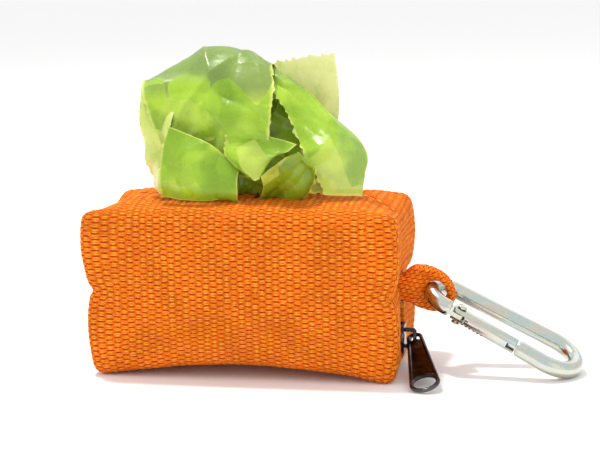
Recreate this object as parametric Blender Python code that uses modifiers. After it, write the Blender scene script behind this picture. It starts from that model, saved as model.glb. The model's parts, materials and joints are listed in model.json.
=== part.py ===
"""Waste-bag dispenser pouch: a zipped cloth box with a dispensing slot, a strap loop and a snap hook.

+X runs along the pouch to the hook, +Y to its back, +Z up. The pouch stands on its four bottom
corners. The origin is under the middle of the whole object's box.
"""

import math

import bmesh
import bpy
from mathutils import Matrix, Vector

# Pouch
POUCH_LENGTH = 0.0870
POUCH_DEPTH = 0.0420
POUCH_HEIGHT = 0.0485
CLOTH = 0.0014
EDGE_RADIUS = 0.0035
TOP_DOME = 0.0018
TOP_END_DROP = 0.0030
BOTTOM_ARCH = 0.0040
FACE_BULGE = 0.0012
END_PINCH = 0.0012
END_SEAM_HEIGHT = 0.0250
SLOT_LENGTH = 0.0400
SLOT_WIDTH = 0.0052
SEAM_ALLOWANCE = 0.0016

# Zip
ZIP_OPENING = 0.0076
ZIP_TOP = 0.0200
TAPE_WIDTH = 0.0080
TAPE_THICKNESS = 0.0006
COIL_WIDTH = 0.0017
COIL_THICKNESS = 0.0010
COIL_DEPTH = 0.0005
STOP_LENGTH = 0.0014
SLIDER_LENGTH = 0.0080
SLIDER_WIDTH = 0.0064
SLIDER_HEIGHT = 0.0085
PLATE = 0.0010
FLANGE = 0.0006
NECK_WIDTH = 0.0006
BRIDGE_RISE = 0.0034
BRIDGE_BAR = 0.0011
BRIDGE_SPAN = 0.0060
BRIDGE_CHAMFER = 0.7
NECK_SHARE = (0.25, 0.9)
PULL_LENGTH = 0.0255
PULL_THICKNESS = 0.0012
PULL_EYE_RADIUS = 0.0024
PULL_RING_RADIUS = 0.0043
PULL_RING_HOLE = 0.0031
PULL_EYE_HOLE = (0.0032, 0.0028)
PULL_OUTWARD = math.radians(13)
PULL_ROLL = math.radians(14)

# Strap loop
STRAP_WIDTH = 0.0080
STRAP_BIGHT_WIDTH = 0.0040
STRAP_THICKNESS = 0.0026
STRAP_TAIL = 0.0050
STRAP_HOLE = (0.0052, 0.0041)
STRAP_DROOP = 0.20

# Snap hook
HOOK_LENGTH = 0.0500
WIRE = 0.0048
NEAR_BEND = 0.0062
FAR_BEND = 0.0080
HOOK_YAW = math.radians(-5)
HOOK_ROLL = math.radians(10)
GATE_PIVOT = 0.0105
GATE_LENGTH = 0.0182
GATE_DIAMETER = 0.0044
GATE_SHOULDER = 0.0001
TONGUE = 0.0014
TONGUE_RADIUS = 0.0019
FORK_DEPTH = 0.0034
NOSE_TONGUE = 0.0010
NOSE_REACH = 0.0022
NOSE_SHARE = 0.5
RIVET_DIAMETER = 0.0015
RIVET_HEAD = 0.0026
RIVET_CROWN = 0.7
PLUNGER_LENGTH = 0.0028
PLUNGER_DIAMETER = 0.0019
SPRING_LENGTH = 0.0040
SPRING_WIRE = 0.0003
SPRING_TURNS = 6
SPRING_STEPS = 10

# Bags
CORE_OUTER = 0.0120
CORE_WALL = 0.0012
CORE_LENGTH = 0.0570
ROLL_DIAMETER = 0.0310
ROLL_LENGTH = 0.0580
NECK = (0.0260, 0.0024)
FILM_SIZE = (0.0770, 0.0340, 0.0410)
FILM_SHIFT_Y = -0.0010
FILM_FOOT = (0.78, 0.75)
FILM_INSET = 0.18

# Threads
TACK_WIDTH = 0.0016
TACK_THICKNESS = 0.0005
THREAD_DIAMETER = 0.0007
THREAD_TAIL_X = 0.0025
THREAD_TAIL = 0.0042
THREAD_BOW = 0.0006
THREAD_STEPS = 6

# Fits
CLEARANCE = 0.0003
LOOSE = 0.0007
FLOOR_GAP = 0.00005

HALF_LENGTH = POUCH_LENGTH / 2
HALF_DEPTH = POUCH_DEPTH / 2
OVERCUT = 0.004

ORANGE = (0.90, 0.24, 0.01)
BLACK = (0.02, 0.02, 0.02)
ZINC = (0.78, 0.78, 0.72)
GUNMETAL = (0.12, 0.12, 0.13)
LIME = (0.55, 0.75, 0.10)
CARD = (0.60, 0.48, 0.34)

PARTS = "waste_bag_pouch"


def clear_scene():
    for obj in list(bpy.data.objects):
        bpy.data.objects.remove(obj)


def collection(name):
    made = bpy.data.collections.new(name)
    bpy.context.scene.collection.children.link(made)
    return made


def material(name, colour, roughness, metallic):
    made = bpy.data.materials.new(name)
    made.use_nodes = True
    shader = made.node_tree.nodes["Principled BSDF"]
    shader.inputs["Base Color"].default_value = (*colour, 1.0)
    shader.inputs["Roughness"].default_value = roughness
    shader.inputs["Metallic"].default_value = metallic
    return made


def smoothstep(low, high, value):
    """0 below low, 1 above high, and an S-curve between them."""
    t = min(max((value - low) / (high - low), 0.0), 1.0)
    return t * t * (3 - 2 * t)


def mesh_object(name, bm, home, parent=None):
    """A new object from a bmesh, smooth shaded, in the collection home."""
    mesh = bpy.data.meshes.new(name)
    bm.to_mesh(mesh)
    bm.free()
    mesh.shade_smooth()
    mesh.set_sharp_from_angle(angle=math.radians(35))
    obj = bpy.data.objects.new(name, mesh)
    home.objects.link(obj)
    obj.parent = parent
    return obj


def finish(obj, colour, roughness=0.8, metallic=0.0):
    obj.data.materials.append(material(obj.name, colour, roughness, metallic))
    return obj


def cutter(obj):
    obj.hide_render = True
    obj.display_type = "WIRE"
    return obj


def boolean(obj, other, operation="DIFFERENCE"):
    modifier = obj.modifiers.new(other.name, "BOOLEAN")
    modifier.object = other
    modifier.operation = operation


def box(name, low, high, home, parent=None):
    """An axis-aligned box between two corners of its parent's frame."""
    bm = bmesh.new()
    low, high = Vector(low), Vector(high)
    bmesh.ops.create_cube(bm, size=1)
    bmesh.ops.scale(bm, vec=high - low, verts=bm.verts)
    bmesh.ops.translate(bm, vec=(low + high) / 2, verts=bm.verts)
    return mesh_object(name, bm, home, parent)


def rod(name, radius, low, high, axis, home, parent=None, sides=24):
    """A cylinder from low to high along the axis X, Y or Z of its parent's frame."""
    bm = bmesh.new()
    turn = {"X": Matrix.Rotation(math.pi / 2, 4, "Y"), "Y": Matrix.Rotation(-math.pi / 2, 4, "X"),
            "Z": Matrix.Identity(4)}[axis]
    middle = turn @ Matrix.Translation((0, 0, (low + high) / 2))
    bmesh.ops.create_cone(bm, cap_ends=True, segments=sides, radius1=radius, radius2=radius,
                          depth=high - low, matrix=middle)
    return mesh_object(name, bm, home, parent)


def turned(name, profile, home, parent=None, steps=24):
    """A solid of revolution about local Z from (radius, z) points that run top to bottom."""
    bm = bmesh.new()
    points = [bm.verts.new((radius, 0, z)) for radius, z in profile]
    for first, second in zip(points, points[1:]):
        bm.edges.new((first, second))
    obj = mesh_object(name, bm, home, parent)
    screw = obj.modifiers.new("turn", "SCREW")
    screw.steps = screw.render_steps = steps
    screw.use_merge_vertices = True
    screw.merge_threshold = 1e-6
    screw.use_smooth_shade = True
    return obj


def mesh_from_curve(curve_obj, home, parent):
    """Turns a curve into a mesh with welded caps, and removes the curve."""
    bpy.context.view_layer.update()
    graph = bpy.context.evaluated_depsgraph_get()
    mesh = bpy.data.meshes.new_from_object(curve_obj.evaluated_get(graph))
    bm = bmesh.new()
    bm.from_mesh(mesh)
    bmesh.ops.remove_doubles(bm, verts=bm.verts, dist=1e-6)
    bmesh.ops.recalc_face_normals(bm, faces=bm.faces)
    bpy.data.meshes.remove(mesh)
    name, matrix = curve_obj.name, curve_obj.matrix_world.copy()
    bpy.data.objects.remove(curve_obj)
    bm.transform(matrix)
    return mesh_object(name, bm, home, parent)


def spline(curve, points, cyclic):
    line = curve.splines.new("POLY")
    line.points.add(len(points) - 1)
    for place, point in zip(line.points, points):
        place.co = (*point, 1.0)
    line.use_cyclic_u = cyclic


def plate(name, outlines, half, home, parent=None, upright=False):
    """A flat piece from closed (u, v) outlines. Upright, u and v are X and Z, and it is thick along Y."""
    curve = bpy.data.curves.new(name, "CURVE")
    curve.dimensions = "2D"
    curve.fill_mode = "BOTH"
    curve.extrude = half
    for outline in outlines:
        spline(curve, [(u, v, 0.0) for u, v in outline], True)
    obj = bpy.data.objects.new(name, curve)
    home.objects.link(obj)
    if upright:
        obj.rotation_euler.x = math.pi / 2
    return mesh_from_curve(obj, home, parent)


def tube(name, points, diameter, home, parent=None, resolution=4):
    curve = bpy.data.curves.new(name, "CURVE")
    curve.dimensions = "3D"
    curve.bevel_depth = diameter / 2
    curve.bevel_resolution = resolution
    curve.use_fill_caps = True
    spline(curve, points, False)
    obj = bpy.data.objects.new(name, curve)
    home.objects.link(obj)
    return mesh_from_curve(obj, home, parent)


def arc(centre, radius, start, end, steps):
    """Points of an arc, with radius one number or a pair for an ellipse."""
    across, up = radius if isinstance(radius, tuple) else (radius, radius)
    angles = [start + (end - start) * i / steps for i in range(steps + 1)]
    return [(centre[0] + across * math.cos(a), centre[1] + up * math.sin(a)) for a in angles]


def tapered_loop(near, far, length, steps=10):
    """The outline round two circles of unlike radius: near's at the origin, far's at (length, 0)."""
    lean = math.asin((far - near) / length)
    top = math.pi / 2 + lean
    near_arc = arc((0, 0), near, top, 2 * math.pi - top, steps)
    far_arc = arc((length, 0), far, -top, top, steps)
    return near_arc, far_arc


def slope_to_floor(height, length, ring, roll, half_thickness):
    """The downward slope, found by halving, at which a ring at the end of an arm just meets the floor."""
    low, high = 0.0, math.pi / 2
    for _ in range(50):
        slope = (low + high) / 2
        sine, lean = math.sin(slope), math.cos(slope) * math.sin(roll)
        drop = length * sine + ring * math.hypot(sine, lean) + half_thickness + FLOOR_GAP
        if drop < height:
            low = slope
        else:
            high = slope
    return low


# ---------------------------------------------------------------- pouch shape


def pouch_shape(point):
    """Moves a point of the plain box to where the sewn cloth has it."""
    x, y, z = point
    across, deep, high = x / HALF_LENGTH, y / HALF_DEPTH, z / POUCH_HEIGHT
    end = smoothstep(0.75, 1.0, abs(across))
    ridge = (1 - deep * deep) * (TOP_DOME - (TOP_DOME + TOP_END_DROP) * end)
    foot = HALF_LENGTH - EDGE_RADIUS
    arch = BOTTOM_ARCH * max(0.0, 1 - (x / foot) ** 2)
    plateau = min(1.0, 2.2 * (1 - across * across)) * min(1.0, 2.2 * (1 - (2 * high - 1) ** 2))
    bulge = FACE_BULGE * max(0.0, plateau) * smoothstep(0.7, 1.0, abs(deep))
    seam = math.exp(-(((z - END_SEAM_HEIGHT) / (3 * CLOTH)) ** 2))
    pinch = END_PINCH * seam * smoothstep(0.9, 1.0, abs(across))
    return Vector((
        x - math.copysign(pinch, x),
        y + math.copysign(bulge, y),
        z + ridge * smoothstep(0.6, 1.0, high) + arch * (1 - smoothstep(0.0, 0.45, high)),
    ))


def cut_grid(bm, axis, places):
    normal = Vector((0, 0, 0))
    normal[axis] = 1
    for place in places:
        everything = bm.verts[:] + bm.edges[:] + bm.faces[:]
        bmesh.ops.bisect_plane(bm, geom=everything, dist=1e-7, plane_co=normal * place, plane_no=normal)


def panel_mesh(side):
    """One half of the cloth box, open towards the seam; side is -1 for the front and 1 for the back."""
    bm = bmesh.new()
    depth = HALF_DEPTH - CLEARANCE / 2
    bmesh.ops.create_cube(bm, size=1)
    bmesh.ops.scale(bm, vec=(POUCH_LENGTH, depth, POUCH_HEIGHT), verts=bm.verts)
    middle = (0, -CLEARANCE / 2 - depth / 2, POUCH_HEIGHT / 2)
    bmesh.ops.translate(bm, vec=middle, verts=bm.verts)
    bmesh.ops.delete(bm, geom=[f for f in bm.faces if f.normal.y > 0.5], context="FACES_ONLY")
    inner = [e for e in bm.edges if not e.is_boundary]
    bmesh.ops.bevel(bm, geom=inner, offset=EDGE_RADIUS, segments=3, profile=0.5, affect="EDGES")
    cut_grid(bm, 0, [HALF_LENGTH * t for t in (-0.8, -0.6, -0.35, 0.0, 0.35, 0.6, 0.8)])
    cut_grid(bm, 1, [-HALF_DEPTH * t for t in (0.3, 0.6)])
    near_seam = [END_SEAM_HEIGHT + CLOTH * t for t in (-4, -2, 0, 2, 4)]
    cut_grid(bm, 2, [POUCH_HEIGHT * t for t in (0.18, 0.82)] + near_seam)
    for vert in bm.verts:
        vert.co = pouch_shape(vert.co)
        vert.co.y *= -side
    if side > 0:
        bmesh.ops.reverse_faces(bm, faces=bm.faces)
    bmesh.ops.recalc_face_normals(bm, faces=bm.faces)
    return bm


def add_panels(parts, cutters):
    top = POUCH_HEIGHT
    slot = cutter(box("cut_slot", (-SLOT_LENGTH / 2, -SLOT_WIDTH / 2, top - 2 * OVERCUT),
                      (SLOT_LENGTH / 2, SLOT_WIDTH / 2, top + 2 * OVERCUT), cutters))
    reach = HALF_LENGTH + OVERCUT
    opening = cutter(box("cut_zip", (-reach, -ZIP_OPENING / 2, -OVERCUT),
                         (reach, ZIP_OPENING / 2, ZIP_TOP), cutters))
    half_wide = STRAP_WIDTH / 2 + CLEARANCE
    half_high = STRAP_THICKNESS + CLEARANCE
    slit = cutter(box("cut_strap", (HALF_LENGTH - OVERCUT, -half_wide, END_SEAM_HEIGHT - half_high),
                      (reach, half_wide, END_SEAM_HEIGHT + half_high), cutters))
    for name, side in (("front_panel", -1), ("back_panel", 1)):
        panel = mesh_object(name, panel_mesh(side), parts)
        shell = panel.modifiers.new("cloth", "SOLIDIFY")
        shell.thickness = CLOTH
        shell.offset = -1
        for tool in (slot, opening, slit):
            boolean(panel, tool)
        finish(panel, ORANGE, 0.85)


# ---------------------------------------------------------------- zip


def zip_line(top):
    """The outer wall's (x, z) points at the zip, from height top on the right end round to the left."""
    foot = HALF_LENGTH - EDGE_RADIUS
    quarter = arc((foot, EDGE_RADIUS), EDGE_RADIUS, 0, -math.pi / 2, 4)
    side = [(HALF_LENGTH, top + (EDGE_RADIUS - top) * i / 4) for i in range(4)]
    floor = [(foot * (1 - i / 6), 0.0) for i in range(1, 6)]
    right = side + quarter + floor
    plain = right + [(0.0, 0.0)] + [(-x, z) for x, z in reversed(right)]
    shaped = [pouch_shape((x, 0.0, z)) for x, z in plain]
    return [(point.x, point.z) for point in shaped]


def inset(line, depth):
    """The line moved inward by depth, square to its own direction."""
    moved = []
    for i, (x, z) in enumerate(line):
        before, after = line[max(i - 1, 0)], line[min(i + 1, len(line) - 1)]
        along = Vector((after[0] - before[0], after[1] - before[1])).normalized()
        moved.append((x + along.y * depth, z - along.x * depth))
    return moved


def band(line, outer, inner):
    return inset(line, outer) + inset(line, inner)[::-1]


def coil_bottom():
    return COIL_DEPTH + COIL_THICKNESS


def tape_top():
    return max(coil_bottom(), CLOTH) + CLEARANCE


def add_zip_chain(parts):
    line = zip_line(ZIP_TOP)
    stop_low = ZIP_TOP - STOP_LENGTH - CLEARANCE
    coil_line = zip_line(stop_low - CLEARANCE)
    for side, name in ((-1, "front"), (1, "back")):
        tape_middle = side * (NECK_WIDTH / 2 + CLEARANCE + TAPE_WIDTH / 2)
        outline = band(line, tape_top(), tape_top() + TAPE_THICKNESS)
        tape = plate("zip_tape_" + name, [outline], TAPE_WIDTH / 2, parts, upright=True)
        tape.location.y = tape_middle
        finish(tape, BLACK, 0.8)
        coil_middle = side * (NECK_WIDTH / 2 + CLEARANCE + COIL_WIDTH / 2)
        outline = band(coil_line, COIL_DEPTH, coil_bottom())
        coil = plate("zip_coil_" + name, [outline], COIL_WIDTH / 2, parts, upright=True)
        coil.location.y = coil_middle
        finish(coil, BLACK, 0.5)
        low = (HALF_LENGTH - coil_bottom(), coil_middle - COIL_WIDTH / 2, stop_low)
        high = (HALF_LENGTH - COIL_DEPTH, coil_middle + COIL_WIDTH / 2, stop_low + STOP_LENGTH)
        finish(box("zip_top_stop_" + name, low, high, parts), GUNMETAL, 0.35, 1.0)
    half = NECK_WIDTH / 2 + CLEARANCE + COIL_WIDTH
    low = (-HALF_LENGTH + COIL_DEPTH, -half, stop_low)
    high = (-HALF_LENGTH + coil_bottom(), half, stop_low + STOP_LENGTH)
    finish(box("zip_bottom_stop", low, high, parts), GUNMETAL, 0.35, 1.0)


def bar_centre():
    """How far the bridge's bar stands out from the pouch's end wall."""
    return -COIL_DEPTH + CLEARANCE + PLATE + BRIDGE_RISE - BRIDGE_BAR / 2


def add_slider(parts, cutters):
    """The slider's frame: X out of the end wall, Z up, with the wall's outer face at X = 0."""
    frame = bpy.data.objects.new("slider_frame", None)
    parts.objects.link(frame)
    frame.location = (HALF_LENGTH, 0, SLIDER_HEIGHT)
    long, wide = SLIDER_LENGTH / 2, SLIDER_WIDTH / 2
    plate_low = -COIL_DEPTH + CLEARANCE
    plate_top = plate_low + PLATE
    under_top = -(tape_top() + TAPE_THICKNESS + CLEARANCE)
    lip = -coil_bottom()
    section = [(plate_top, -wide), (plate_top, wide), (lip, wide), (lip, wide - FLANGE),
               (plate_low, wide - FLANGE), (plate_low, FLANGE - wide), (lip, FLANGE - wide), (lip, -wide)]
    slider = plate("zip_slider", [section], long, parts, frame)
    under = box("add_under_plate", (under_top - PLATE, -wide, -long), (under_top, wide, long), cutters, frame)
    neck_low = (under_top - PLATE / 2, -NECK_WIDTH / 2, long * NECK_SHARE[0])
    neck_high = (plate_top - PLATE / 2, NECK_WIDTH / 2, long * NECK_SHARE[1])
    for piece in (under, box("add_slider_neck", neck_low, neck_high, cutters, frame)):
        boolean(slider, cutter(piece), "UNION")
    base, rise = plate_top - PLATE / 2, plate_top + BRIDGE_RISE
    span, bar = BRIDGE_SPAN / 2, BRIDGE_BAR
    bend = bar * BRIDGE_CHAMFER
    outer = [(base, -span), (rise - bend, -span), (rise, -span + bend), (rise, span - bend),
             (rise - bend, span), (base, span)]
    inner = [(base, span - bar), (rise - bar, span - bar), (rise - bar, -span + bar), (base, -span + bar)]
    bridge = cutter(plate("add_bridge", [outer + inner], bar / 2, cutters, frame, upright=True))
    boolean(slider, bridge, "UNION")
    finish(slider, GUNMETAL, 0.35, 1.0)
    return frame


def add_pull(parts, slider_frame):
    """The pull's eye is on the bridge's bar, and its ring end lies out on the floor."""
    turn = bpy.data.objects.new("pull_turn", None)
    parts.objects.link(turn)
    turn.parent = slider_frame
    turn.location = (bar_centre(), 0, 0)
    near, far = tapered_loop(PULL_EYE_RADIUS, PULL_RING_RADIUS, PULL_LENGTH)
    eye_long, eye_wide = PULL_EYE_HOLE[0] / 2, PULL_EYE_HOLE[1] / 2
    eye = [(-eye_long, -eye_wide), (eye_long, -eye_wide), (eye_long, eye_wide), (-eye_long, eye_wide)]
    ring = arc((PULL_LENGTH, 0), PULL_RING_HOLE, 0, 2 * math.pi, 20)[:-1]
    pull = plate("zip_pull", [near[:-1] + far[:-1], eye, ring], PULL_THICKNESS / 2, parts, turn)
    pull.rotation_mode = "QUATERNION"
    slope = slope_to_floor(SLIDER_HEIGHT, PULL_LENGTH, PULL_RING_RADIUS, PULL_ROLL, PULL_THICKNESS / 2)
    swing = Matrix.Rotation(PULL_OUTWARD - math.pi / 2, 3, "Z") @ Matrix.Rotation(slope, 3, "Y")
    pull.rotation_quaternion = (swing @ Matrix.Rotation(PULL_ROLL, 3, "X")).to_quaternion()
    finish(pull, GUNMETAL, 0.25, 1.0)


# ---------------------------------------------------------------- strap


def wire_centre():
    """Where the hook's wire crosses the strap's bight, in the XZ plane."""
    inner = NEAR_BEND - WIRE / 2 - LOOSE
    room = NEAR_BEND - math.sqrt(inner**2 - (STRAP_BIGHT_WIDTH / 2) ** 2)
    x = strap_middle() + STRAP_HOLE[0] - room
    return x, END_SEAM_HEIGHT - STRAP_DROOP * (x - HALF_LENGTH)


def strap_middle():
    return HALF_LENGTH + STRAP_HOLE[0] + STRAP_THICKNESS


def add_strap(parts):
    middle = (strap_middle(), 0.0)
    outer_radius = tuple(size + STRAP_THICKNESS for size in STRAP_HOLE)
    start = math.pi - math.asin(STRAP_THICKNESS / outer_radius[1])
    loop = arc(middle, outer_radius, -start, start, 26)
    tail = HALF_LENGTH - STRAP_TAIL
    outer = loop + [(tail, STRAP_THICKNESS), (tail, -STRAP_THICKNESS)]
    hole = arc(middle, STRAP_HOLE, 0, 2 * math.pi, 24)[:-1]
    strap = plate("strap_loop", [outer, hole], STRAP_WIDTH / 2, parts, upright=True)
    for vert in strap.data.vertices:
        x, y, z = vert.co
        out = smoothstep(HALF_LENGTH, middle[0], x)
        y *= 1 + (STRAP_BIGHT_WIDTH / STRAP_WIDTH - 1) * out
        turned_point = Matrix.Rotation(HOOK_ROLL * out, 3, "X") @ Vector((0, y, z))
        drop = STRAP_DROOP * max(0.0, x - HALF_LENGTH)
        vert.co = (x, turned_point.y, END_SEAM_HEIGHT + turned_point.z - drop)
    finish(strap, ORANGE, 0.85)


# ---------------------------------------------------------------- snap hook


def add_hook(parts, cutters):
    """The hook's frame: the wire's middle in the strap at the origin, X to the far bend, Y to the spine."""
    x, z = wire_centre()
    frame = bpy.data.objects.new("hook_frame", None)
    parts.objects.link(frame)
    arm = HOOK_LENGTH - WIRE - FAR_BEND
    slope = slope_to_floor(z, arm, FAR_BEND, HOOK_ROLL, WIRE / 2)
    turn = Matrix.Rotation(HOOK_YAW, 4, "Z") @ Matrix.Rotation(slope, 4, "Y")
    frame.matrix_world = Matrix.Translation((x, 0, z)) @ turn @ Matrix.Rotation(HOOK_ROLL, 4, "X")
    between = arm - NEAR_BEND
    lean = math.asin((FAR_BEND - NEAR_BEND) / between)
    near, far = tapered_loop(NEAR_BEND, FAR_BEND, between, steps=16)
    near = [(u + NEAR_BEND, v) for u, v in near]
    far = [(u + NEAR_BEND, v) for u, v in far]

    # The gate's frame: its pivot at the origin, X along the gate to the nose, Y towards the spine.
    gate_frame = bpy.data.objects.new("gate_frame", None)
    parts.objects.link(gate_frame)
    gate_frame.parent = frame
    low = Vector(near[-1])
    along = Vector((math.cos(lean), -math.sin(lean)))
    pivot = low + along * (GATE_PIVOT - NEAR_BEND)
    gate_frame.location = (*pivot, 0)
    gate_frame.rotation_euler.z = -lean

    radius = GATE_DIAMETER / 2
    stub = pivot - along * (radius + LOOSE)
    nose = pivot + along * (GATE_LENGTH + CLEARANCE)
    route = [tuple(stub), *near[::-1], *far[::-1], tuple(nose)]
    body = tube("hook_body", [(u, v, 0) for u, v in route], WIRE, parts, frame)
    tongue_outline = arc((0, 0), TONGUE_RADIUS, -math.pi / 2, math.pi / 2, 10)
    back = -radius - 3 * LOOSE
    tongue_outline += [(back, TONGUE_RADIUS), (back, -TONGUE_RADIUS)]
    pin_hole = arc((0, 0), RIVET_DIAMETER / 2 + CLEARANCE, 0, 2 * math.pi, 16)[:-1]
    tongue = plate("add_tongue", [tongue_outline, pin_hole], TONGUE / 2, cutters, gate_frame)
    boolean(body, cutter(tongue), "UNION")
    nose_low = (GATE_LENGTH - NOSE_REACH, -radius * NOSE_SHARE, -NOSE_TONGUE / 2)
    nose_high = (GATE_LENGTH + 2 * LOOSE, radius * NOSE_SHARE, NOSE_TONGUE / 2)
    boolean(body, cutter(box("add_nose", nose_low, nose_high, cutters, gate_frame)), "UNION")
    finish(body, ZINC, 0.3, 1.0)
    add_gate(parts, cutters, gate_frame)


def add_gate(parts, cutters, frame):
    radius = GATE_DIAMETER / 2
    gate = rod("hook_gate", radius, -radius, GATE_LENGTH, "X", parts, frame)
    outline = arc((0, 0), radius - GATE_SHOULDER, math.pi / 2, 3 * math.pi / 2, 12)
    wide, reach = radius + OVERCUT, GATE_LENGTH + OVERCUT
    outline += [(0, -wide), (reach, -wide), (reach, wide), (0, wide)]
    round_end = cutter(plate("keep_gate_end", [outline], wide, cutters, frame))
    boolean(gate, round_end, "INTERSECT")
    half_fork = TONGUE / 2 + CLEARANCE
    fork_low, fork_high = (-2 * radius, -2 * radius, -half_fork), (FORK_DEPTH, 2 * radius, half_fork)
    fork = box("cut_fork", fork_low, fork_high, cutters, frame)
    boolean(gate, cutter(fork))
    half_nose = NOSE_TONGUE / 2 + CLEARANCE
    notch_low = (GATE_LENGTH - NOSE_REACH - CLEARANCE, -2 * radius, -half_nose)
    notch_high = (GATE_LENGTH + OVERCUT, radius * NOSE_SHARE + CLEARANCE, half_nose)
    boolean(gate, cutter(box("cut_notch", notch_low, notch_high, cutters, frame)))
    bore_radius = PLUNGER_DIAMETER / 2 + CLEARANCE
    plunger_start = TONGUE_RADIUS + CLEARANCE
    spring_start = plunger_start + PLUNGER_LENGTH + LOOSE
    bore_end = spring_start + SPRING_LENGTH + CLEARANCE
    bore = rod("cut_bore", bore_radius, FORK_DEPTH - OVERCUT / 4, bore_end, "X", cutters, frame)
    boolean(gate, cutter(bore))
    hole = rod("cut_rivet", RIVET_DIAMETER / 2 + CLEARANCE, -OVERCUT, OVERCUT, "Z", cutters, frame)
    boolean(gate, cutter(hole))
    finish(gate, ZINC, 0.3, 1.0)

    shaft, head = RIVET_DIAMETER / 2, RIVET_HEAD / 2
    under, top = radius + CLEARANCE, radius + CLEARANCE + RIVET_DIAMETER / 3
    profile = [(0, top), (head * RIVET_CROWN, top), (head, (under + top) / 2), (head, under), (shaft, under)]
    profile += [(r, -z) for r, z in reversed(profile)]
    finish(turned("gate_rivet", profile, parts, frame), ZINC, 0.35, 1.0)

    plunger_end = plunger_start + PLUNGER_LENGTH
    plunger = rod("gate_plunger", PLUNGER_DIAMETER / 2, plunger_start, plunger_end, "X", parts, frame, 16)
    finish(plunger, ZINC, 0.35, 1.0)
    coil_radius = bore_radius - CLEARANCE / 2 - SPRING_WIRE
    steps = SPRING_TURNS * SPRING_STEPS
    points = []
    for i in range(steps + 1):
        angle = 2 * math.pi * SPRING_TURNS * i / steps
        along = spring_start + SPRING_WIRE + (SPRING_LENGTH - 2 * SPRING_WIRE) * i / steps
        points.append((along, coil_radius * math.cos(angle), coil_radius * math.sin(angle)))
    finish(tube("gate_spring", points, SPRING_WIRE, parts, frame, 1), ZINC, 0.4, 1.0)


# ---------------------------------------------------------------- bags


def roll_height():
    return BOTTOM_ARCH + tape_top() + TAPE_THICKNESS + LOOSE + ROLL_DIAMETER / 2


def ring_profile(outer, inner, length):
    half = length / 2
    return [(inner, half), (outer, half), (outer, -half), (inner, -half), (inner, half)]


def add_bags(parts):
    axle = bpy.data.objects.new("roll_axle", None)
    parts.objects.link(axle)
    axle.location.z = roll_height()
    axle.rotation_euler.y = math.pi / 2
    core = CORE_OUTER / 2
    tube_profile = ring_profile(core, core - CORE_WALL, CORE_LENGTH)
    finish(turned("roll_core", tube_profile, parts, axle), CARD, 0.9)
    roll_profile = ring_profile(ROLL_DIAMETER / 2, core + CLEARANCE, ROLL_LENGTH)
    finish(turned("bag_roll", roll_profile, parts, axle, 36), LIME, 0.4)

    neck_low = roll_height() + ROLL_DIAMETER / 2 + CLEARANCE
    neck_high = POUCH_HEIGHT + TOP_DOME + LOOSE
    half_long, half_thick = NECK[0] / 2, NECK[1] / 2
    neck = box("bag_neck", (-half_long, -half_thick, neck_low), (half_long, half_thick, neck_high), parts)
    finish(neck, LIME, 0.4)

    bm = bmesh.new()
    bmesh.ops.create_cube(bm, size=1)
    for face in list(bm.faces):
        if abs(face.normal.z) > 0.5:
            bmesh.ops.inset_region(bm, faces=[face], thickness=FILM_INSET)
    for vert in bm.verts:
        if vert.co.z < 0:
            vert.co.x *= FILM_FOOT[0]
            vert.co.y *= FILM_FOOT[1]
    bmesh.ops.scale(bm, vec=FILM_SIZE, verts=bm.verts)
    middle = (0, FILM_SHIFT_Y, neck_high + CLEARANCE + FILM_SIZE[2] / 2)
    bmesh.ops.translate(bm, vec=middle, verts=bm.verts)
    film = mesh_object("bag_film", bm, parts)
    soften = film.modifiers.new("soften", "SUBSURF")
    soften.levels = soften.render_levels = 2
    finish(film, LIME, 0.4)


# ---------------------------------------------------------------- threads


def add_threads(parts):
    half = SLOT_WIDTH / 2
    top = POUCH_HEIGHT + TOP_DOME + CLEARANCE
    for name, side in (("left", -1), ("right", 1)):
        middle = side * (SLOT_LENGTH / 2 + SEAM_ALLOWANCE)
        low = (middle - TACK_WIDTH / 2, -half, top)
        high = (middle + TACK_WIDTH / 2, half, top + TACK_THICKNESS)
        finish(box("slot_tack_" + name, low, high, parts), ORANGE, 0.8)
    start = -half - SEAM_ALLOWANCE
    lift = top + THREAD_DIAMETER / 2
    points = []
    for i in range(THREAD_STEPS + 1):
        t = i / THREAD_STEPS
        bow = THREAD_BOW * math.sin(math.pi * t)
        points.append((THREAD_TAIL_X + bow, start - THREAD_TAIL * t, lift - THREAD_BOW * t * t))
    finish(tube("thread_tail", points, THREAD_DIAMETER, parts, None, 2), BLACK, 0.7)


def settle_origin(parts):
    """Moves the object so that the origin lies under the middle of its box, on the floor."""
    bpy.context.view_layer.update()
    graph = bpy.context.evaluated_depsgraph_get()
    corners = []
    for obj in parts.objects:
        if obj.type == "MESH":
            mesh = obj.evaluated_get(graph).to_mesh()
            corners += [obj.matrix_world @ vert.co for vert in mesh.vertices]
            obj.evaluated_get(graph).to_mesh_clear()
    low = Vector(min(c[i] for c in corners) for i in range(3))
    high = Vector(max(c[i] for c in corners) for i in range(3))
    root = bpy.data.objects.new("root", None)
    parts.objects.link(root)
    for obj in bpy.data.objects:
        if obj.parent is None and obj is not root:
            obj.parent = root
    root.location = (-(low.x + high.x) / 2, -(low.y + high.y) / 2, -low.z)
    bpy.context.view_layer.update()


def main():
    clear_scene()
    parts, cutters = collection(PARTS), collection("cutters")
    add_panels(parts, cutters)
    add_zip_chain(parts)
    add_pull(parts, add_slider(parts, cutters))
    add_strap(parts)
    add_hook(parts, cutters)
    add_bags(parts)
    add_threads(parts)
    settle_origin(parts)


main()
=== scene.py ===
"""Looks of a waste-bag dispenser pouch: a zipped cloth box, its bags, a strap loop and a snap hook.

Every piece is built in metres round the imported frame. A size is in metres unless its name says
otherwise. A pair on cloth or film is the size of the pattern and how far it moves the surface.
"""

import json
import logging
import math
import random
from dataclasses import dataclass
from enum import Enum
from typing import Callable, Sequence

import bmesh
import bpy
from mathutils import Matrix, Vector, noise

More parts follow.
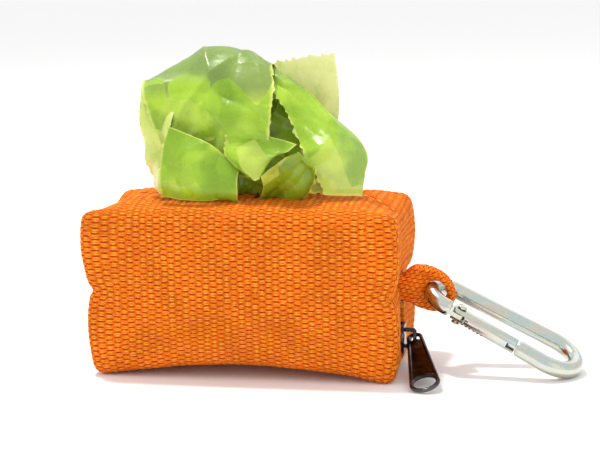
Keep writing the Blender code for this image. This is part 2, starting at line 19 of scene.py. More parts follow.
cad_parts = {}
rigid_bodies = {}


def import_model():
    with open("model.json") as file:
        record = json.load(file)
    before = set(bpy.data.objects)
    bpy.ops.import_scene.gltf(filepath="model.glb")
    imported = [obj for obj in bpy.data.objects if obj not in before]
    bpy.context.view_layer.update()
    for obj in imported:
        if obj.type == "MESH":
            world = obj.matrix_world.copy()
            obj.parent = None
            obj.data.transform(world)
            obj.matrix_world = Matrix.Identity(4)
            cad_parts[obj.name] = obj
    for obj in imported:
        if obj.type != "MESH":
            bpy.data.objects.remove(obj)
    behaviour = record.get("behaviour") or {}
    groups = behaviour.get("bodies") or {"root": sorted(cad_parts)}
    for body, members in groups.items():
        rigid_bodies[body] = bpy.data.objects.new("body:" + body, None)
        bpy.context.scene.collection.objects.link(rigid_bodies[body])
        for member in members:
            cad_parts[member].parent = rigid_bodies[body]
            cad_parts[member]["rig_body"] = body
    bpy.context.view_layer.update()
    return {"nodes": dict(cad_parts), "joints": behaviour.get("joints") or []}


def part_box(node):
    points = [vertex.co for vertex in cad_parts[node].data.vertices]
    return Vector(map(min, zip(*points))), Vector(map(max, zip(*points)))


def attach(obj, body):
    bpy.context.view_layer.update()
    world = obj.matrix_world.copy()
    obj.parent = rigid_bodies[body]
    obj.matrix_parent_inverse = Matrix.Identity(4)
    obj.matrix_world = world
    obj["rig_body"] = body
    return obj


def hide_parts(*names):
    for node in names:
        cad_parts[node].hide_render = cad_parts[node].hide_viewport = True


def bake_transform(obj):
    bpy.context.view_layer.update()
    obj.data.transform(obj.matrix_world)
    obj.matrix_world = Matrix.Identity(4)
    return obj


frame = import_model()

LOG = logging.getLogger("pouch")
MM = 0.001
WELD = 1e-6
WEAVE_UV = "weave"
FILM_UV = "net"
LOOK = "_look"
GAP_PLACE, GAP_HALF = 0.12, 0.1  # a gap's middle and half height in its brick
CROWN_POWER = 0.55
FILM_THICKNESS = 0.00012
WHITE = (1.0, 1.0, 1.0)

Colour = tuple[float, float, float]
Point = tuple[float, float, float]
Flat = tuple[float, float]
Socket = bpy.types.NodeSocket


# ------------------------------------------------------------------ numbers


def smoothstep(low: float, high: float, value: float) -> float:
    """0 below low, 1 above high, and an S-curve between them."""
    t = min(max((value - low) / (high - low), 0.0), 1.0)
    return t * t * (3 - 2 * t)


def srgb(red: int, green: int, blue: int) -> Colour:
    """A linear colour from the usual 0 to 255 numbers."""
    return tuple(
        ((c / 255 + 0.055) / 1.055) ** 2.4 if c > 10 else c / 3294 for c in (red, green, blue))


def shaded(colour: Colour, share: float) -> Colour:
    """The colour with every part times the share."""
    return tuple(c * share for c in colour)


def hill(distance: float, width: float) -> float:
    """1 where the distance is 0, falling smoothly to 0 over about twice the width."""
    return math.exp(-((distance / width) ** 2))


def arc(centre: Flat, radius: float, start: float, end: float, steps: int) -> list[Flat]:
    """Points of a plane arc, ends included."""
    angles = [start + (end - start) * i / steps for i in range(steps + 1)]
    return [(centre[0] + radius * math.cos(a), centre[1] + radius * math.sin(a)) for a in angles]


def creases(point: Vector, scale: float, seed: float) -> float:
    """Sharp-ridged noise from 0 on a crease to about 1 between creases."""
    return abs(noise.noise(point / scale + Vector((seed, seed * 1.7, -seed))))


# ------------------------------------------------------------------ shader tools


class Graph:
    """Short calls for making nodes in one shader tree."""

    def __init__(self, tree: bpy.types.NodeTree) -> None:
        """Takes the tree to build in."""
        self.tree = tree

    def put(self, value: object, socket: Socket) -> None:
        """Links a socket, or sets a plain value."""
        if isinstance(value, bpy.types.NodeSocket):
            self.tree.links.new(value, socket)
        elif socket.type == "RGBA" and len(value) == 3:
            socket.default_value = (*value, 1.0)
        else:
            socket.default_value = value

    def node(self, kind: str, inputs: dict[str | int, object] | None = None,
             **settings: object) -> bpy.types.Node:
        """A node of the kind, with its settings and inputs.

        Args:
            kind: the node type without its ShaderNode prefix.
            inputs: values or sockets by input name or number.
            settings: the node's own properties.

        Returns:
            The new node.
        """
        made = self.tree.nodes.new("ShaderNode" + kind)
        for name, value in settings.items():
            setattr(made, name, value)
        for name, value in (inputs or {}).items():
            self.put(value, made.inputs[name])
        return made

    def math(self, operation: str, *values: object) -> Socket:
        """One Math node's result."""
        return self.node("Math", dict(enumerate(values)), operation=operation).outputs[0]

    def vector(self, operation: str, *values: object) -> Socket:
        """One Vector Math node's vector."""
        return self.node("VectorMath", dict(enumerate(values)), operation=operation).outputs[0]

    def parts(self, vector: Socket) -> bpy.types.NodeOutputs:
        """The X, Y and Z of a vector."""
        return self.node("SeparateXYZ", {0: vector}).outputs

    def inverse(self, value: object) -> Socket:
        """1 less the value."""
        return self.math("SUBTRACT", 1.0, value)

    def mix(self, factor: object, first: object, second: object) -> Socket:
        """Two colours mixed by the factor."""
        made = self.node("Mix", data_type="RGBA")
        for value, number in ((factor, 0), (first, 6), (second, 7)):
            self.put(value, made.inputs[number])
        return made.outputs[2]

    def remap(self, value: object, low: float, high: float, to_low: float = 0.0,
              to_high: float = 1.0) -> Socket:
        """A smooth step of the value between two levels."""
        inputs = {"Value": value, "From Min": low, "From Max": high, "To Min": to_low,
                  "To Max": to_high}
        return self.node("MapRange", inputs, interpolation_type="SMOOTHSTEP").outputs["Result"]

    def noise(self, vector: Socket, scale: float, detail: float = 3.0,
              distortion: float = 0.0) -> Socket:
        """Noise about 0.5 at the scale, in turns per metre of the vector."""
        inputs = {"Vector": vector, "Scale": scale, "Detail": detail, "Distortion": distortion}
        return self.node("TexNoise", inputs).outputs["Fac"]

    def cells(self, vector: Socket, scale: float) -> tuple[Socket, Socket]:
        """Flat cells with straight borders: each one's random colour, and how far the border is."""
        inputs = {"Vector": vector, "Scale": scale, "Randomness": 1.0}
        cell = self.node("TexVoronoi", inputs, feature="F1")
        border = self.node("TexVoronoi", inputs, feature="DISTANCE_TO_EDGE")
        return cell.outputs["Color"], border.outputs["Distance"]

    def tilted(self, colour: Socket, tilt: float) -> Socket:
        """The surface's normal, turned a little by a random colour."""
        normal = self.node("NewGeometry").outputs["Normal"]
        off = self.vector("SUBTRACT", colour, (0.5, 0.5, 0.5))
        off = self.vector("MULTIPLY_ADD", off, (tilt, tilt, tilt), normal)
        return self.vector("NORMALIZE", off)

    def stretch(self, vector: Socket, scale: Point) -> Socket:
        """The vector scaled by axis."""
        return self.node("Mapping", {"Vector": vector, "Scale": scale}).outputs[0]

    def object_place(self) -> Socket:
        """The piece's own coordinates."""
        return self.node("TexCoord").outputs["Object"]

    def weave_place(self) -> Socket:
        """The piece's place along and across its cloth, in metres."""
        return self.node("UVMap", uv_map=WEAVE_UV).outputs["UV"]

    def group(self, name: str, inputs: dict[str, object]) -> bpy.types.Node:
        """A placed copy of a shader group."""
        made = self.tree.nodes.new("ShaderNodeGroup")
        made.node_tree = bpy.data.node_groups[name]
        for key, value in inputs.items():
            self.put(value, made.inputs[key])
        return made


def new_group(name: str, inputs: dict[str, float | Point],
              outputs: Sequence[str]) -> tuple[Graph, bpy.types.NodeOutputs, bpy.types.NodeInputs]:
    """An empty shader group with float or vector inputs and float outputs.

    Args:
        name: the group's name.
        inputs: each input's default, a number or a vector.
        outputs: the names of the float outputs.

    Returns:
        The group's graph, its input node's outputs and its output node's inputs.
    """
    tree = bpy.data.node_groups.new(name, "ShaderNodeTree")
    for key, value in inputs.items():
        kind = "NodeSocketVector" if isinstance(value, tuple) else "NodeSocketFloat"
        tree.interface.new_socket(name=key, in_out="INPUT", socket_type=kind).default_value = value
    for key in outputs:
        tree.interface.new_socket(name=key, in_out="OUTPUT", socket_type="NodeSocketFloat")
    source = tree.nodes.new("NodeGroupInput")
    sink = tree.nodes.new("NodeGroupOutput")
    return Graph(tree), source.outputs, sink.inputs


def build_weave_group() -> None:
    """Basket weave in staggered bricks: height, a mask of painted shade in the gaps, a mask of
    painted highlight on the yarn crowns, and a random number by brick.
    """
    graph, given, out = new_group(
        "Weave", {"Place": (0.0, 0.0, 0.0), "Column": 0.002, "Row": 0.0016, "Wobble": 0.1},
        ("Height", "Gap", "Yarn", "Brick"))
    split = graph.parts(given["Place"])
    drift = graph.math("SUBTRACT", graph.noise(given["Place"], 420.0, 2.0), 0.5)
    sway = graph.math("SUBTRACT", graph.noise(given["Place"], 260.0, 2.0), 0.5)
    across = graph.math("DIVIDE", split["X"], given["Column"])
    across = graph.math("MULTIPLY_ADD", sway, given["Wobble"], across)
    column = graph.math("FLOOR", across)
    in_column = graph.math("FRACT", across)
    stagger = graph.math("FRACT", graph.math("MULTIPLY", column, 0.5))
    along = graph.math("ADD", graph.math("DIVIDE", split["Y"], given["Row"]), stagger)
    along = graph.math("MULTIPLY_ADD", drift, given["Wobble"], along)
    row = graph.math("FLOOR", along)
    in_row = graph.math("FRACT", along)
    half_turn = graph.math("SINE", graph.math("MULTIPLY", in_column, math.pi))
    crown = graph.math("POWER", half_turn, CROWN_POWER)
    # The gap between rows of bricks, where shade is painted.
    off_gap = graph.math("ABSOLUTE", graph.math("SUBTRACT", in_row, GAP_PLACE))
    gap = graph.inverse(graph.remap(off_gap, 0.07, 0.16))
    pair = graph.math("MULTIPLY", graph.math("SUBTRACT", in_row, 0.22), 2 * math.pi / 0.78)
    yarn = graph.math("POWER", graph.math("ABSOLUTE", graph.math("SINE", pair)), 0.7)
    height = graph.math("MULTIPLY", crown, graph.math("MULTIPLY_ADD", yarn, 0.5, 0.5))
    height = graph.math("MULTIPLY", height, graph.math("MULTIPLY_ADD", gap, -0.85, 1.0))
    cell = graph.node("CombineXYZ", {0: column, 1: row})
    brick = graph.node("TexWhiteNoise", {"Vector": cell.outputs[0]}, noise_dimensions="3D")
    brick = brick.outputs["Value"]
    graph.put(height, out["Height"])
    strength = graph.remap(brick, 0.0, 1.0, 0.75, 1.1)
    # Gap is the mask of painted shade in the gaps; Yarn is the mask of painted highlight on the
    # yarn crowns.
    graph.put(graph.math("MULTIPLY", graph.math("MULTIPLY", gap, crown), strength), out["Gap"])
    graph.put(graph.math("MULTIPLY", yarn, graph.math("MULTIPLY", crown, crown)), out["Yarn"])
    graph.put(brick, out["Brick"])


def build_scuff_group() -> None:
    """Handling marks: a broad cloudiness, fine scratches and small pits."""
    graph, given, out = new_group("Scuff", {"Place": (0.0, 0.0, 0.0), "Scale": 1.0},
                                  ("Cloud", "Scratch", "Pit"))
    inputs = {0: given["Place"], "Scale": given["Scale"]}
    place = graph.node("VectorMath", inputs, operation="SCALE").outputs[0]
    graph.put(graph.noise(place, 160.0, 4.0, 0.3), out["Cloud"])
    lines = graph.noise(graph.stretch(place, (60.0, 900.0, 900.0)), 1.0, 2.0, 0.4)
    cross = graph.noise(graph.stretch(place, (700.0, 90.0, 700.0)), 1.0, 2.0, 0.4)
    graph.put(graph.remap(graph.math("MAXIMUM", lines, cross), 0.62, 0.78), out["Scratch"])
    graph.put(graph.remap(graph.noise(place, 1400.0, 2.0), 0.62, 0.75), out["Pit"])


def build_fibre_group() -> None:
    """Fine fuzz along a yarn: a height and a tint."""
    graph, given, out = new_group(
        "Fibre", {"Place": (0.0, 0.0, 0.0), "Along": 900.0, "Across": 5200.0}, ("Height", "Tint"))
    across = given["Across"]
    scale = graph.node("CombineXYZ", {0: given["Along"], 1: across, 2: across}).outputs[0]
    place = graph.vector("MULTIPLY", given["Place"], scale)
    graph.put(graph.noise(place, 1.0, 3.0, 0.6), out["Height"])
    graph.put(graph.noise(given["Place"], 95.0, 3.0), out["Tint"])


# ------------------------------------------------------------------ finishes


@dataclass(frozen=True)
class Finish:
    """A named finish with its even values; a subclass paints the rest."""

    name: str
    base: Colour
    roughness: float = 0.5
    metallic: float = 0.0
    mottle: float = 0.3

    def paint(self, graph: Graph, shader: bpy.types.Node) -> None:
        """Adds the pattern; a plain finish has a faint cloudiness."""
        marks = graph.group("Scuff", {"Place": graph.object_place(), "Scale": 1.0})
        cloud = marks.outputs["Cloud"]
        dark = shaded(self.base, 1 - self.mottle)
        graph.put(graph.mix(cloud, dark, self.base), shader.inputs["Base Color"])
        rough = graph.math("MULTIPLY_ADD", cloud, self.mottle, self.roughness - self.mottle / 2)
        graph.put(rough, shader.inputs["Roughness"])

    def bump(self, graph: Graph, shader: bpy.types.Node, height: Socket,
             depth: float) -> bpy.types.Node:
        """Feeds a height of so many metres to the shader's normal, and gives the Bump node."""
        made = graph.node("Bump", {"Height": height, "Distance": depth, "Strength": 1.0})
        graph.put(made.outputs[0], shader.inputs["Normal"])
        return made

    def make(self) -> bpy.types.Material:
        """The material, made once and then found by name."""
        label = self.name + LOOK
        made = bpy.data.materials.get(label)
        if made:
            return made
        made = bpy.data.materials.new(label)
        made.use_nodes = True
        graph = Graph(made.node_tree)
        shader = made.node_tree.nodes["Principled BSDF"]
        shader.inputs["Base Color"].default_value = (*self.base, 1.0)
        shader.inputs["Roughness"].default_value = self.roughness
        shader.inputs["Metallic"].default_value = self.metallic
        self.paint(graph, shader)
        return made


@dataclass(frozen=True)
class WovenFinish(Finish):
    """Cloth woven in staggered bricks of paired yarns."""

    # light is the painted highlight colour and gap the painted shade colour of the weave.
    light: Colour = (1.0, 0.5, 0.04)
    gap: Colour = (0.5, 0.02, 0.0)
    column: float = 0.0020
    row: float = 0.0016
    relief: float = 0.00035
    wobble: float = 0.34
    fuzz: float = 0.6

    def paint(self, graph: Graph, shader: bpy.types.Node) -> None:
        """Yarns with a painted highlight on their crowns, painted shade in the gaps and on the low
        yarn edges, uneven dye, and fuzz painted lighter where it rises and darker where it sinks.
        """
        place = graph.weave_place()
        inputs = {"Place": place, "Column": self.column, "Row": self.row, "Wobble": self.wobble}
        weave = graph.group("Weave", inputs).outputs
        fibre = graph.group("Fibre", {"Place": place}).outputs
        body = graph.mix(graph.remap(fibre["Tint"], 0.35, 0.65), shaded(self.base, 0.8), self.base)
        # Painted highlight on the yarn crowns, varied by brick and by fibre.
        lit = graph.math("MULTIPLY", weave["Yarn"], graph.remap(weave["Brick"], 0.0, 1.0, 0.6, 1.0))
        lit = graph.math("MULTIPLY", lit, graph.remap(fibre["Height"], 0.32, 0.6, 0.25, 1.0))
        shade = graph.mix(graph.remap(lit, 0.25, 0.85, 0.0, 0.75), body, self.light)
        # Painted shade on the low edges of each yarn, then in the gaps.
        edge = graph.inverse(graph.remap(weave["Height"], 0.0, 0.6))
        shade = graph.mix(graph.math("MULTIPLY", edge, 0.34), shade, self.gap)
        shade = graph.mix(graph.remap(weave["Gap"], 0.1, 0.7), shade, self.gap)
        # Fuzz: a fine random speckle, also painted lighter where its bump rises and darker where it
        # sinks.
        fuzz = graph.noise(graph.stretch(place, (1500.0, 3600.0, 3600.0)), 1.0, 2.0, 1.0)
        shade = graph.mix(graph.remap(fuzz, 0.54, 0.74, 0.0, self.fuzz), shade, self.light)
        shade = graph.mix(graph.remap(fuzz, 0.28, 0.48, self.fuzz, 0.0), shade, self.gap)
        rough = graph.remap(weave["Height"], 0.0, 1.0, 0.95, self.roughness)
        graph.put(shade, shader.inputs["Base Color"])
        graph.put(rough, shader.inputs["Roughness"])
        shader.inputs["Specular IOR Level"].default_value = 0.25
        height = graph.math("MULTIPLY_ADD", fuzz, self.fuzz, weave["Height"])
        self.bump(graph, shader, height, self.relief)


@dataclass(frozen=True)
class FilmFinish(Finish):
    """Thin glossy plastic film with painted light and shade on its facets and creases, a painted
    tone on its top, and paler towards its edges.
    """

    # pale is the painted highlight on lit facets and crease lines, and the colour of the paler
    # edges; deep is the darker end of the uneven tint and the painted shade on shaded facets and
    # crease lines.
    pale: Colour = (0.8, 0.85, 0.3)
    deep: Colour = (0.2, 0.35, 0.01)
    # The painted tone on the film's top: its colour, the height where it starts and the height over
    # which it comes in.
    top_shading: Colour = (0.25, 0.36, 0.10)
    top_shading_from: float = 0.079
    top_shading_over: float = 0.006
    facets: float = 95.0
    tilt: float = 0.55
    alpha: float = 0.80
    relief: float = 0.00006

    def paint(self, graph: Graph, shader: bpy.types.Node) -> None:
        """Flat facets painted lighter and darker and tilted, straight creases painted with
        highlight and shade lines, paler edges, an uneven tint and a painted tone on the top.
        """
        place = graph.object_place()
        cloud = graph.noise(place, 75.0, 3.0, 0.5)
        fine = graph.noise(place, 420.0, 4.0, 1.2)
        bent = graph.vector("MULTIPLY", place, (1.0, 1.6, 0.7))
        facet, border = graph.cells(bent, self.facets)
        small, thin = graph.cells(bent, self.facets * 2.6)
        # Painted facet shading: each flat cell goes towards the painted shade or the painted
        # highlight by its random value, which also tilts its normal below.
        shade = graph.node("SeparateColor", {0: facet}).outputs[0]
        tint = graph.mix(graph.remap(cloud, 0.38, 0.6), self.deep, self.base)
        tint = graph.mix(graph.remap(shade, 0.1, 0.5, 0.4, 0.0), tint, self.deep)
        tint = graph.mix(graph.remap(shade, 0.6, 1.0, 0.0, 0.5), tint, self.pale)
        # Painted tone on the top, from how light falls there: above a set height, with a jagged
        # edge by facet.
        jagged = graph.remap(shade, 0.0, 1.0, -0.003, 0.003)
        crown = graph.math("ADD", graph.parts(place)[2], jagged)
        crown = graph.remap(crown, self.top_shading_from, self.top_shading_from + self.top_shading_over, 0.0, 0.85)
        tint = graph.mix(crown, tint, self.top_shading)
        # Painted crease lines: a pale highlight along the large facets' borders and a dark shade
        # along the small ones'.
        for line, wide, to, strength, colour in (
                (border, 0.012, 0.6, 0.28, self.pale), (thin, 0.02, 0.66, 0.2, self.deep)):
            crease = graph.remap(line, 0.0, wide, 1.0, 0.0)
            crease = graph.math("MULTIPLY", crease, graph.remap(cloud, 0.52, to))
            tint = graph.mix(graph.math("MULTIPLY", crease, strength), tint, colour)
        # Paler towards the sheet's edges.
        net = graph.parts(graph.node("UVMap", uv_map=FILM_UV).outputs["UV"])
        rim = graph.math("MAXIMUM", *(graph.math("ABSOLUTE", net[i]) for i in (0, 1)))
        rim = graph.math("MULTIPLY_ADD", graph.math("SUBTRACT", fine, 0.5), 0.03, rim)
        tint = graph.mix(graph.remap(rim, 0.472, 0.494, 0.0, 0.75), tint, self.pale)
        rough = graph.remap(fine, 0.3, 0.7, self.roughness - 0.08, self.roughness + 0.12)
        graph.put(tint, shader.inputs["Base Color"])
        graph.put(rough, shader.inputs["Roughness"])
        shader.inputs["Alpha"].default_value = self.alpha
        shader.inputs["Specular IOR Level"].default_value = 0.6
        bump = self.bump(graph, shader, fine, self.relief)
        graph.put(graph.tilted(graph.mix(0.3, facet, small), self.tilt), bump.inputs["Normal"])


@dataclass(frozen=True)
class MetalFinish(Finish):
    """Plated metal with soft marks; colour bands along it are painted reflection streaks, on zinc
    partly also the plating's iridescent tint.
    """

    # second and third are the colours of the painted reflection streaks, darker and lighter than
    # the base, with a hue shift where the plating is iridescent.
    second: Colour = (0.5, 0.5, 0.5)
    third: Colour = (0.5, 0.5, 0.5)
    scratch: float = 0.25
    relief: float = 0.00002

    def paint(self, graph: Graph, shader: bpy.types.Node) -> None:
        """Two colour bands drifting along the piece as painted reflection streaks, with scratches
        and pits.
        """
        place = graph.object_place()
        marks = graph.group("Scuff", {"Place": place, "Scale": 1.0}).outputs
        # Painted reflection streaks: a noise stretched along the piece's length.
        reflection_streak = graph.noise(graph.stretch(place, (90.0, 260.0, 260.0)), 1.0, 2.0, 0.6)
        tone = graph.mix(graph.remap(reflection_streak, 0.36, 0.50), self.second, self.base)
        tone = graph.mix(graph.remap(reflection_streak, 0.52, 0.64), tone, self.third)
        worn = shaded(self.base, 0.55)
        tone = graph.mix(graph.math("MULTIPLY", marks["Pit"], 0.4), tone, worn)
        graph.put(tone, shader.inputs["Base Color"])
        rough = graph.math("MULTIPLY_ADD", marks["Cloud"], 0.22, self.roughness - 0.11)
        rough = graph.math("MULTIPLY_ADD", marks["Scratch"], self.scratch, rough)
        graph.put(rough, shader.inputs["Roughness"])
        pits = graph.math("MULTIPLY", marks["Pit"], -1.0)
        height = graph.math("MULTIPLY_ADD", marks["Scratch"], -0.6, pits)
        self.bump(graph, shader, height, self.relief)


@dataclass(frozen=True)
class ThreadFinish(Finish):
    """Twisted sewing thread or woven tape, by slanted ribs."""

    ribs: float = 2600.0
    slant: Point = (1.0, 0.6, 0.8)
    relief: float = 0.00008

    def paint(self, graph: Graph, shader: bpy.types.Node) -> None:
        """Slanted ribs with fuzz, painted paler on the raised ribs."""
        place = graph.object_place()
        slanted = graph.node("VectorMath", {0: place, 1: self.slant}, operation="DOT_PRODUCT")
        across = slanted.outputs["Value"]
        wave = graph.math("SINE", graph.math("MULTIPLY", across, self.ribs * 2.0))
        fuzz = graph.noise(place, 2200.0, 3.0)
        height = graph.math("MULTIPLY_ADD", wave, 0.5, fuzz)
        # Painted highlight: the raised ribs go towards a paler copy of the colour.
        pale = tuple(min(1.0, c * 1.9 + 0.01) for c in self.base)
        tint = graph.mix(graph.remap(height, 0.2, 1.0), self.base, pale)
        graph.put(tint, shader.inputs["Base Color"])
        rough = graph.remap(height, 0.0, 1.2, min(1.0, self.roughness + 0.15), self.roughness)
        graph.put(rough, shader.inputs["Roughness"])
        self.bump(graph, shader, height, self.relief)


# In the woven finishes, light is the painted highlight on the yarn crowns and gap the painted shade
# in the gaps.
ORANGE_CLOTH = WovenFinish("orange_cloth", srgb(255, 126, 0), 0.85, light=srgb(255, 194, 62),
                           gap=srgb(184, 30, 0))
ORANGE_STRAP = WovenFinish("orange_strap", srgb(255, 122, 0), 0.85, light=srgb(255, 190, 62),
                           gap=srgb(196, 52, 0), column=0.0016, row=0.0013, relief=0.00030)
ORANGE_THREAD = ThreadFinish("orange_thread", srgb(236, 106, 4), 0.75)
BLACK_THREAD = ThreadFinish("black_thread", srgb(26, 24, 24), 0.8)
BLACK_TAPE = ThreadFinish("black_tape", srgb(22, 22, 24), 0.85, ribs=2200.0, slant=(1.0, 1.0, 0.0))
BLACK_NYLON = Finish("black_nylon", srgb(30, 30, 33), 0.42)
# The metals' second and third colours are painted reflection streaks; on the zinc they are also
# tinted green and pink like its iridescence.
GUNMETAL = MetalFinish("gunmetal", srgb(62, 60, 62), 0.2, 1.0,
                       second=srgb(34, 33, 36), third=srgb(98, 96, 100))
ZINC = MetalFinish("zinc_steel", srgb(204, 204, 190), 0.2, 1.0,
                   second=srgb(190, 203, 200), third=srgb(205, 196, 188))
SPRING = MetalFinish("spring_steel", srgb(190, 190, 192), 0.3, 1.0,
                     second=srgb(150, 152, 158), third=srgb(200, 200, 200))
LIME_FILM = FilmFinish("lime_film", srgb(184, 224, 52), 0.3, pale=srgb(232, 240, 120),
                       deep=srgb(140, 184, 28), top_shading=srgb(124, 152, 74))
# A lit copy of the lime film, painted paler for sheets in strong light.
LIT_FILM = FilmFinish("lit_film", srgb(240, 246, 146), 0.3, pale=srgb(252, 252, 196),
                       deep=srgb(206, 228, 92), top_shading=srgb(246, 249, 164))
# A shaded copy of the lime film, painted darker for sheets and hollows in shade.
SHADED_FILM = FilmFinish("shaded_film", srgb(150, 186, 36), 0.3, pale=srgb(226, 230, 96),
                        deep=srgb(104, 132, 12), top_shading=srgb(124, 152, 74), alpha=0.88)
CARD = Finish("cardboard", srgb(176, 148, 112), 0.9)
FLOOR = Finish("floor", (0.97, 0.97, 0.97), 0.9, mottle=0.02)


# ------------------------------------------------------------------ mesh tools


def in_scene(name: str, data: bpy.types.ID) -> bpy.types.Object:
    """A new object of the data, placed in the scene."""
    obj = bpy.data.objects.new(name, data)
    bpy.context.scene.collection.objects.link(obj)
    return obj


def mesh_of(name: str, bm: bmesh.types.BMesh) -> bpy.types.Mesh:
    """The bmesh as a named mesh; the bmesh is freed."""
    mesh = bpy.data.meshes.new(name)
    bm.to_mesh(mesh)
    bm.free()
    return mesh


def outward(bm: bmesh.types.BMesh) -> None:
    """Turns every face outwards."""
    bmesh.ops.recalc_face_normals(bm, faces=bm.faces)


def at_axes(place: Vector, x: Vector, y: Vector, z: Vector) -> Matrix:
    """The frame at a place with these axes."""
    return Matrix.Translation(place) @ Matrix((x, y, z)).transposed().to_4x4()


def plate(bm: bmesh.types.BMesh, outline: Sequence[Vector], lift: Vector) -> None:
    """A flat plate: the outline as a face, drawn out by the lift."""
    face = bm.faces.new([bm.verts.new(p) for p in outline])
    made = bmesh.ops.extrude_face_region(bm, geom=[face])["geom"]
    bmesh.ops.translate(bm, vec=lift, verts=[v for v in made if isinstance(v, bmesh.types.BMVert)])


def turned(bm: bmesh.types.BMesh, points: Sequence[Point], axis: Point, steps: int,
           closed: bool = False) -> None:
    """Spins a profile round an axis through the origin.

    Args:
        bm: the mesh to add to.
        points: the profile's points.
        axis: the axis's direction.
        steps: how many parts the full turn has.
        closed: whether the profile's last point joins its first.
    """
    verts = [bm.verts.new(p) for p in points]
    edges = [bm.edges.new(pair) for pair in zip(verts, verts[1:] + verts[:closed])]
    bmesh.ops.spin(bm, geom=verts + edges, cent=(0, 0, 0), axis=axis, angle=2 * math.pi,
                   steps=steps, use_merge=True)


def make_piece(name: str, bm: bmesh.types.BMesh, finish: Finish, body: str,
               slot: str | None = None, replaces: Sequence[str] = (),
               sharp_deg: float = 40.0) -> bpy.types.Object:
    """Turns a bmesh into a finished piece that rides on a body.

    Args:
        name: the piece's name.
        bm: its mesh in the row frame; it is freed.
        finish: its finish.
        body: the CAD body it rides on.
        slot: not used.
        replaces: the CAD nodes it stands for.
        sharp_deg: edges sharper than this stay sharp.

    Returns:
        The new object.
    """
    mesh = mesh_of(name, bm)
    mesh.shade_smooth()
    mesh.set_sharp_from_angle(angle=math.radians(sharp_deg))
    obj = in_scene(name, mesh)
    mesh.materials.append(finish.make())
    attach(obj, body)
    slot or finish.name
    if replaces:
        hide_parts(*replaces)
    LOG.info("%s: %d faces on %s", name, len(mesh.polygons), body)
    return obj


def dress(node: str, finish: Finish) -> None:
    """Gives a CAD node that stays visible its finish."""
    mesh = frame["nodes"][node].data
    mesh.materials.clear()
    mesh.materials.append(finish.make())
    LOG.info("%s: CAD shape kept", node)


def cad_copy(node: str, flat_deg: float = 2.0) -> bmesh.types.BMesh:
    """A welded copy of a CAD node's mesh with its flat faces whole again."""
    bm = bmesh.new()
    bm.from_mesh(frame["nodes"][node].data)
    bmesh.ops.remove_doubles(bm, verts=bm.verts, dist=WELD)
    bmesh.ops.dissolve_limit(bm, angle_limit=math.radians(flat_deg), verts=bm.verts,
                             edges=bm.edges)
    return bm


def bevel_sharp(bm: bmesh.types.BMesh, width: float, from_deg: float = 40.0) -> None:
    """Rounds every edge that turns by more than from_deg."""
    limit = math.radians(from_deg)
    edges = [e for e in bm.edges if len(e.link_faces) == 2 and e.calc_face_angle(0.0) > limit]
    bmesh.ops.bevel(bm, geom=edges, offset=width, segments=2, profile=0.5, affect="EDGES",
                    material=-1, clamp_overlap=True)


def unit_grid(bm: bmesh.types.BMesh, columns: int, rows: int) -> list[bmesh.types.BMVert]:
    """A grid over the unit square in XY, from (0, 0) to (1, 1)."""
    made = bmesh.ops.create_grid(bm, x_segments=columns, y_segments=rows, size=0.5,
                                 matrix=Matrix.Translation((0.5, 0.5, 0)))
    return made["verts"]


def sweep(bm: bmesh.types.BMesh, frames: Sequence[Matrix],
          section: Callable[[float], list[Flat]],
          caps: bool = True) -> dict[bmesh.types.BMVert, tuple[int, int]]:
    """Draws a closed section along frames whose X and Y hold it and whose Z points along the way.

    Args:
        bm: the mesh to add to.
        frames: one 4x4 for each ring.
        section: gives the section's points from the share of the way, 0 to 1.
        caps: whether both ends are closed.

    Returns:
        Each new vertex with its ring and its number in the ring.
    """
    def around(verts: Sequence[bmesh.types.BMVert]) -> list[bmesh.types.BMEdge]:
        """The edges of one ring."""
        return [bm.edges.get((a, b)) for a, b in zip(verts, [*verts[1:], verts[0]])]

    ring = bmesh.ops.create_circle(bm, segments=len(section(0.0)), radius=1.0)["verts"]
    index: dict[bmesh.types.BMVert, tuple[int, int]] = {}
    for i, place in enumerate(frames):
        points = section(i / (len(frames) - 1))
        if i:
            made = bmesh.ops.extrude_edge_only(bm, edges=around(ring))["geom"]
            fresh = [v for v in made if isinstance(v, bmesh.types.BMVert)]
            near = {tuple(round(c, 9) for c in v.co): v for v in fresh}
            ring = [near[tuple(round(c, 9) for c in v.co)] for v in ring]
        for j, (vert, (x, y)) in enumerate(zip(ring, points)):
            vert.co = place @ Vector((x, y, 0.0))
            index[vert] = (i, j)
        if caps and i in (0, len(frames) - 1):
            bmesh.ops.contextual_create(bm, geom=around(ring))
    return index


def directions(points: Sequence[Vector]) -> list[Vector]:
    """The way that a line of points goes at each of them."""
    last = len(points) - 1
    return [(points[min(i + 1, last)] - points[max(i - 1, 0)]).normalized()
            for i in range(last + 1)]


def frame_at(point: Vector, along: Vector, side: Vector) -> Matrix:
    """A frame whose Z points along, and X as near to side as it can be."""
    x = (side - along * side.dot(along)).normalized()
    return at_axes(point, x, along.cross(x), along)


def frames_along(points: Sequence[Vector], side: Vector) -> list[Matrix]:
    """Frames along a line of points, X as near to side as it can be."""
    return [frame_at(p, along, side) for p, along in zip(points, directions(points))]


def distances(points: Sequence[Vector]) -> list[float]:
    """How far along the line each point is."""
    made = [0.0]
    for first, second in zip(points, points[1:]):
        made.append(made[-1] + (second - first).length)
    return made


def oval(width: float, height: float, sides: int, square: float = 1.0) -> list[Flat]:
    """A closed oval section; square below 1 fills its corners."""
    points = []
    for i in range(sides):
        a = 2 * math.pi * i / sides
        c, s = math.cos(a), math.sin(a)
        points.append((width / 2 * math.copysign(abs(c) ** square, c),
                       height / 2 * math.copysign(abs(s) ** square, s)))
    return points


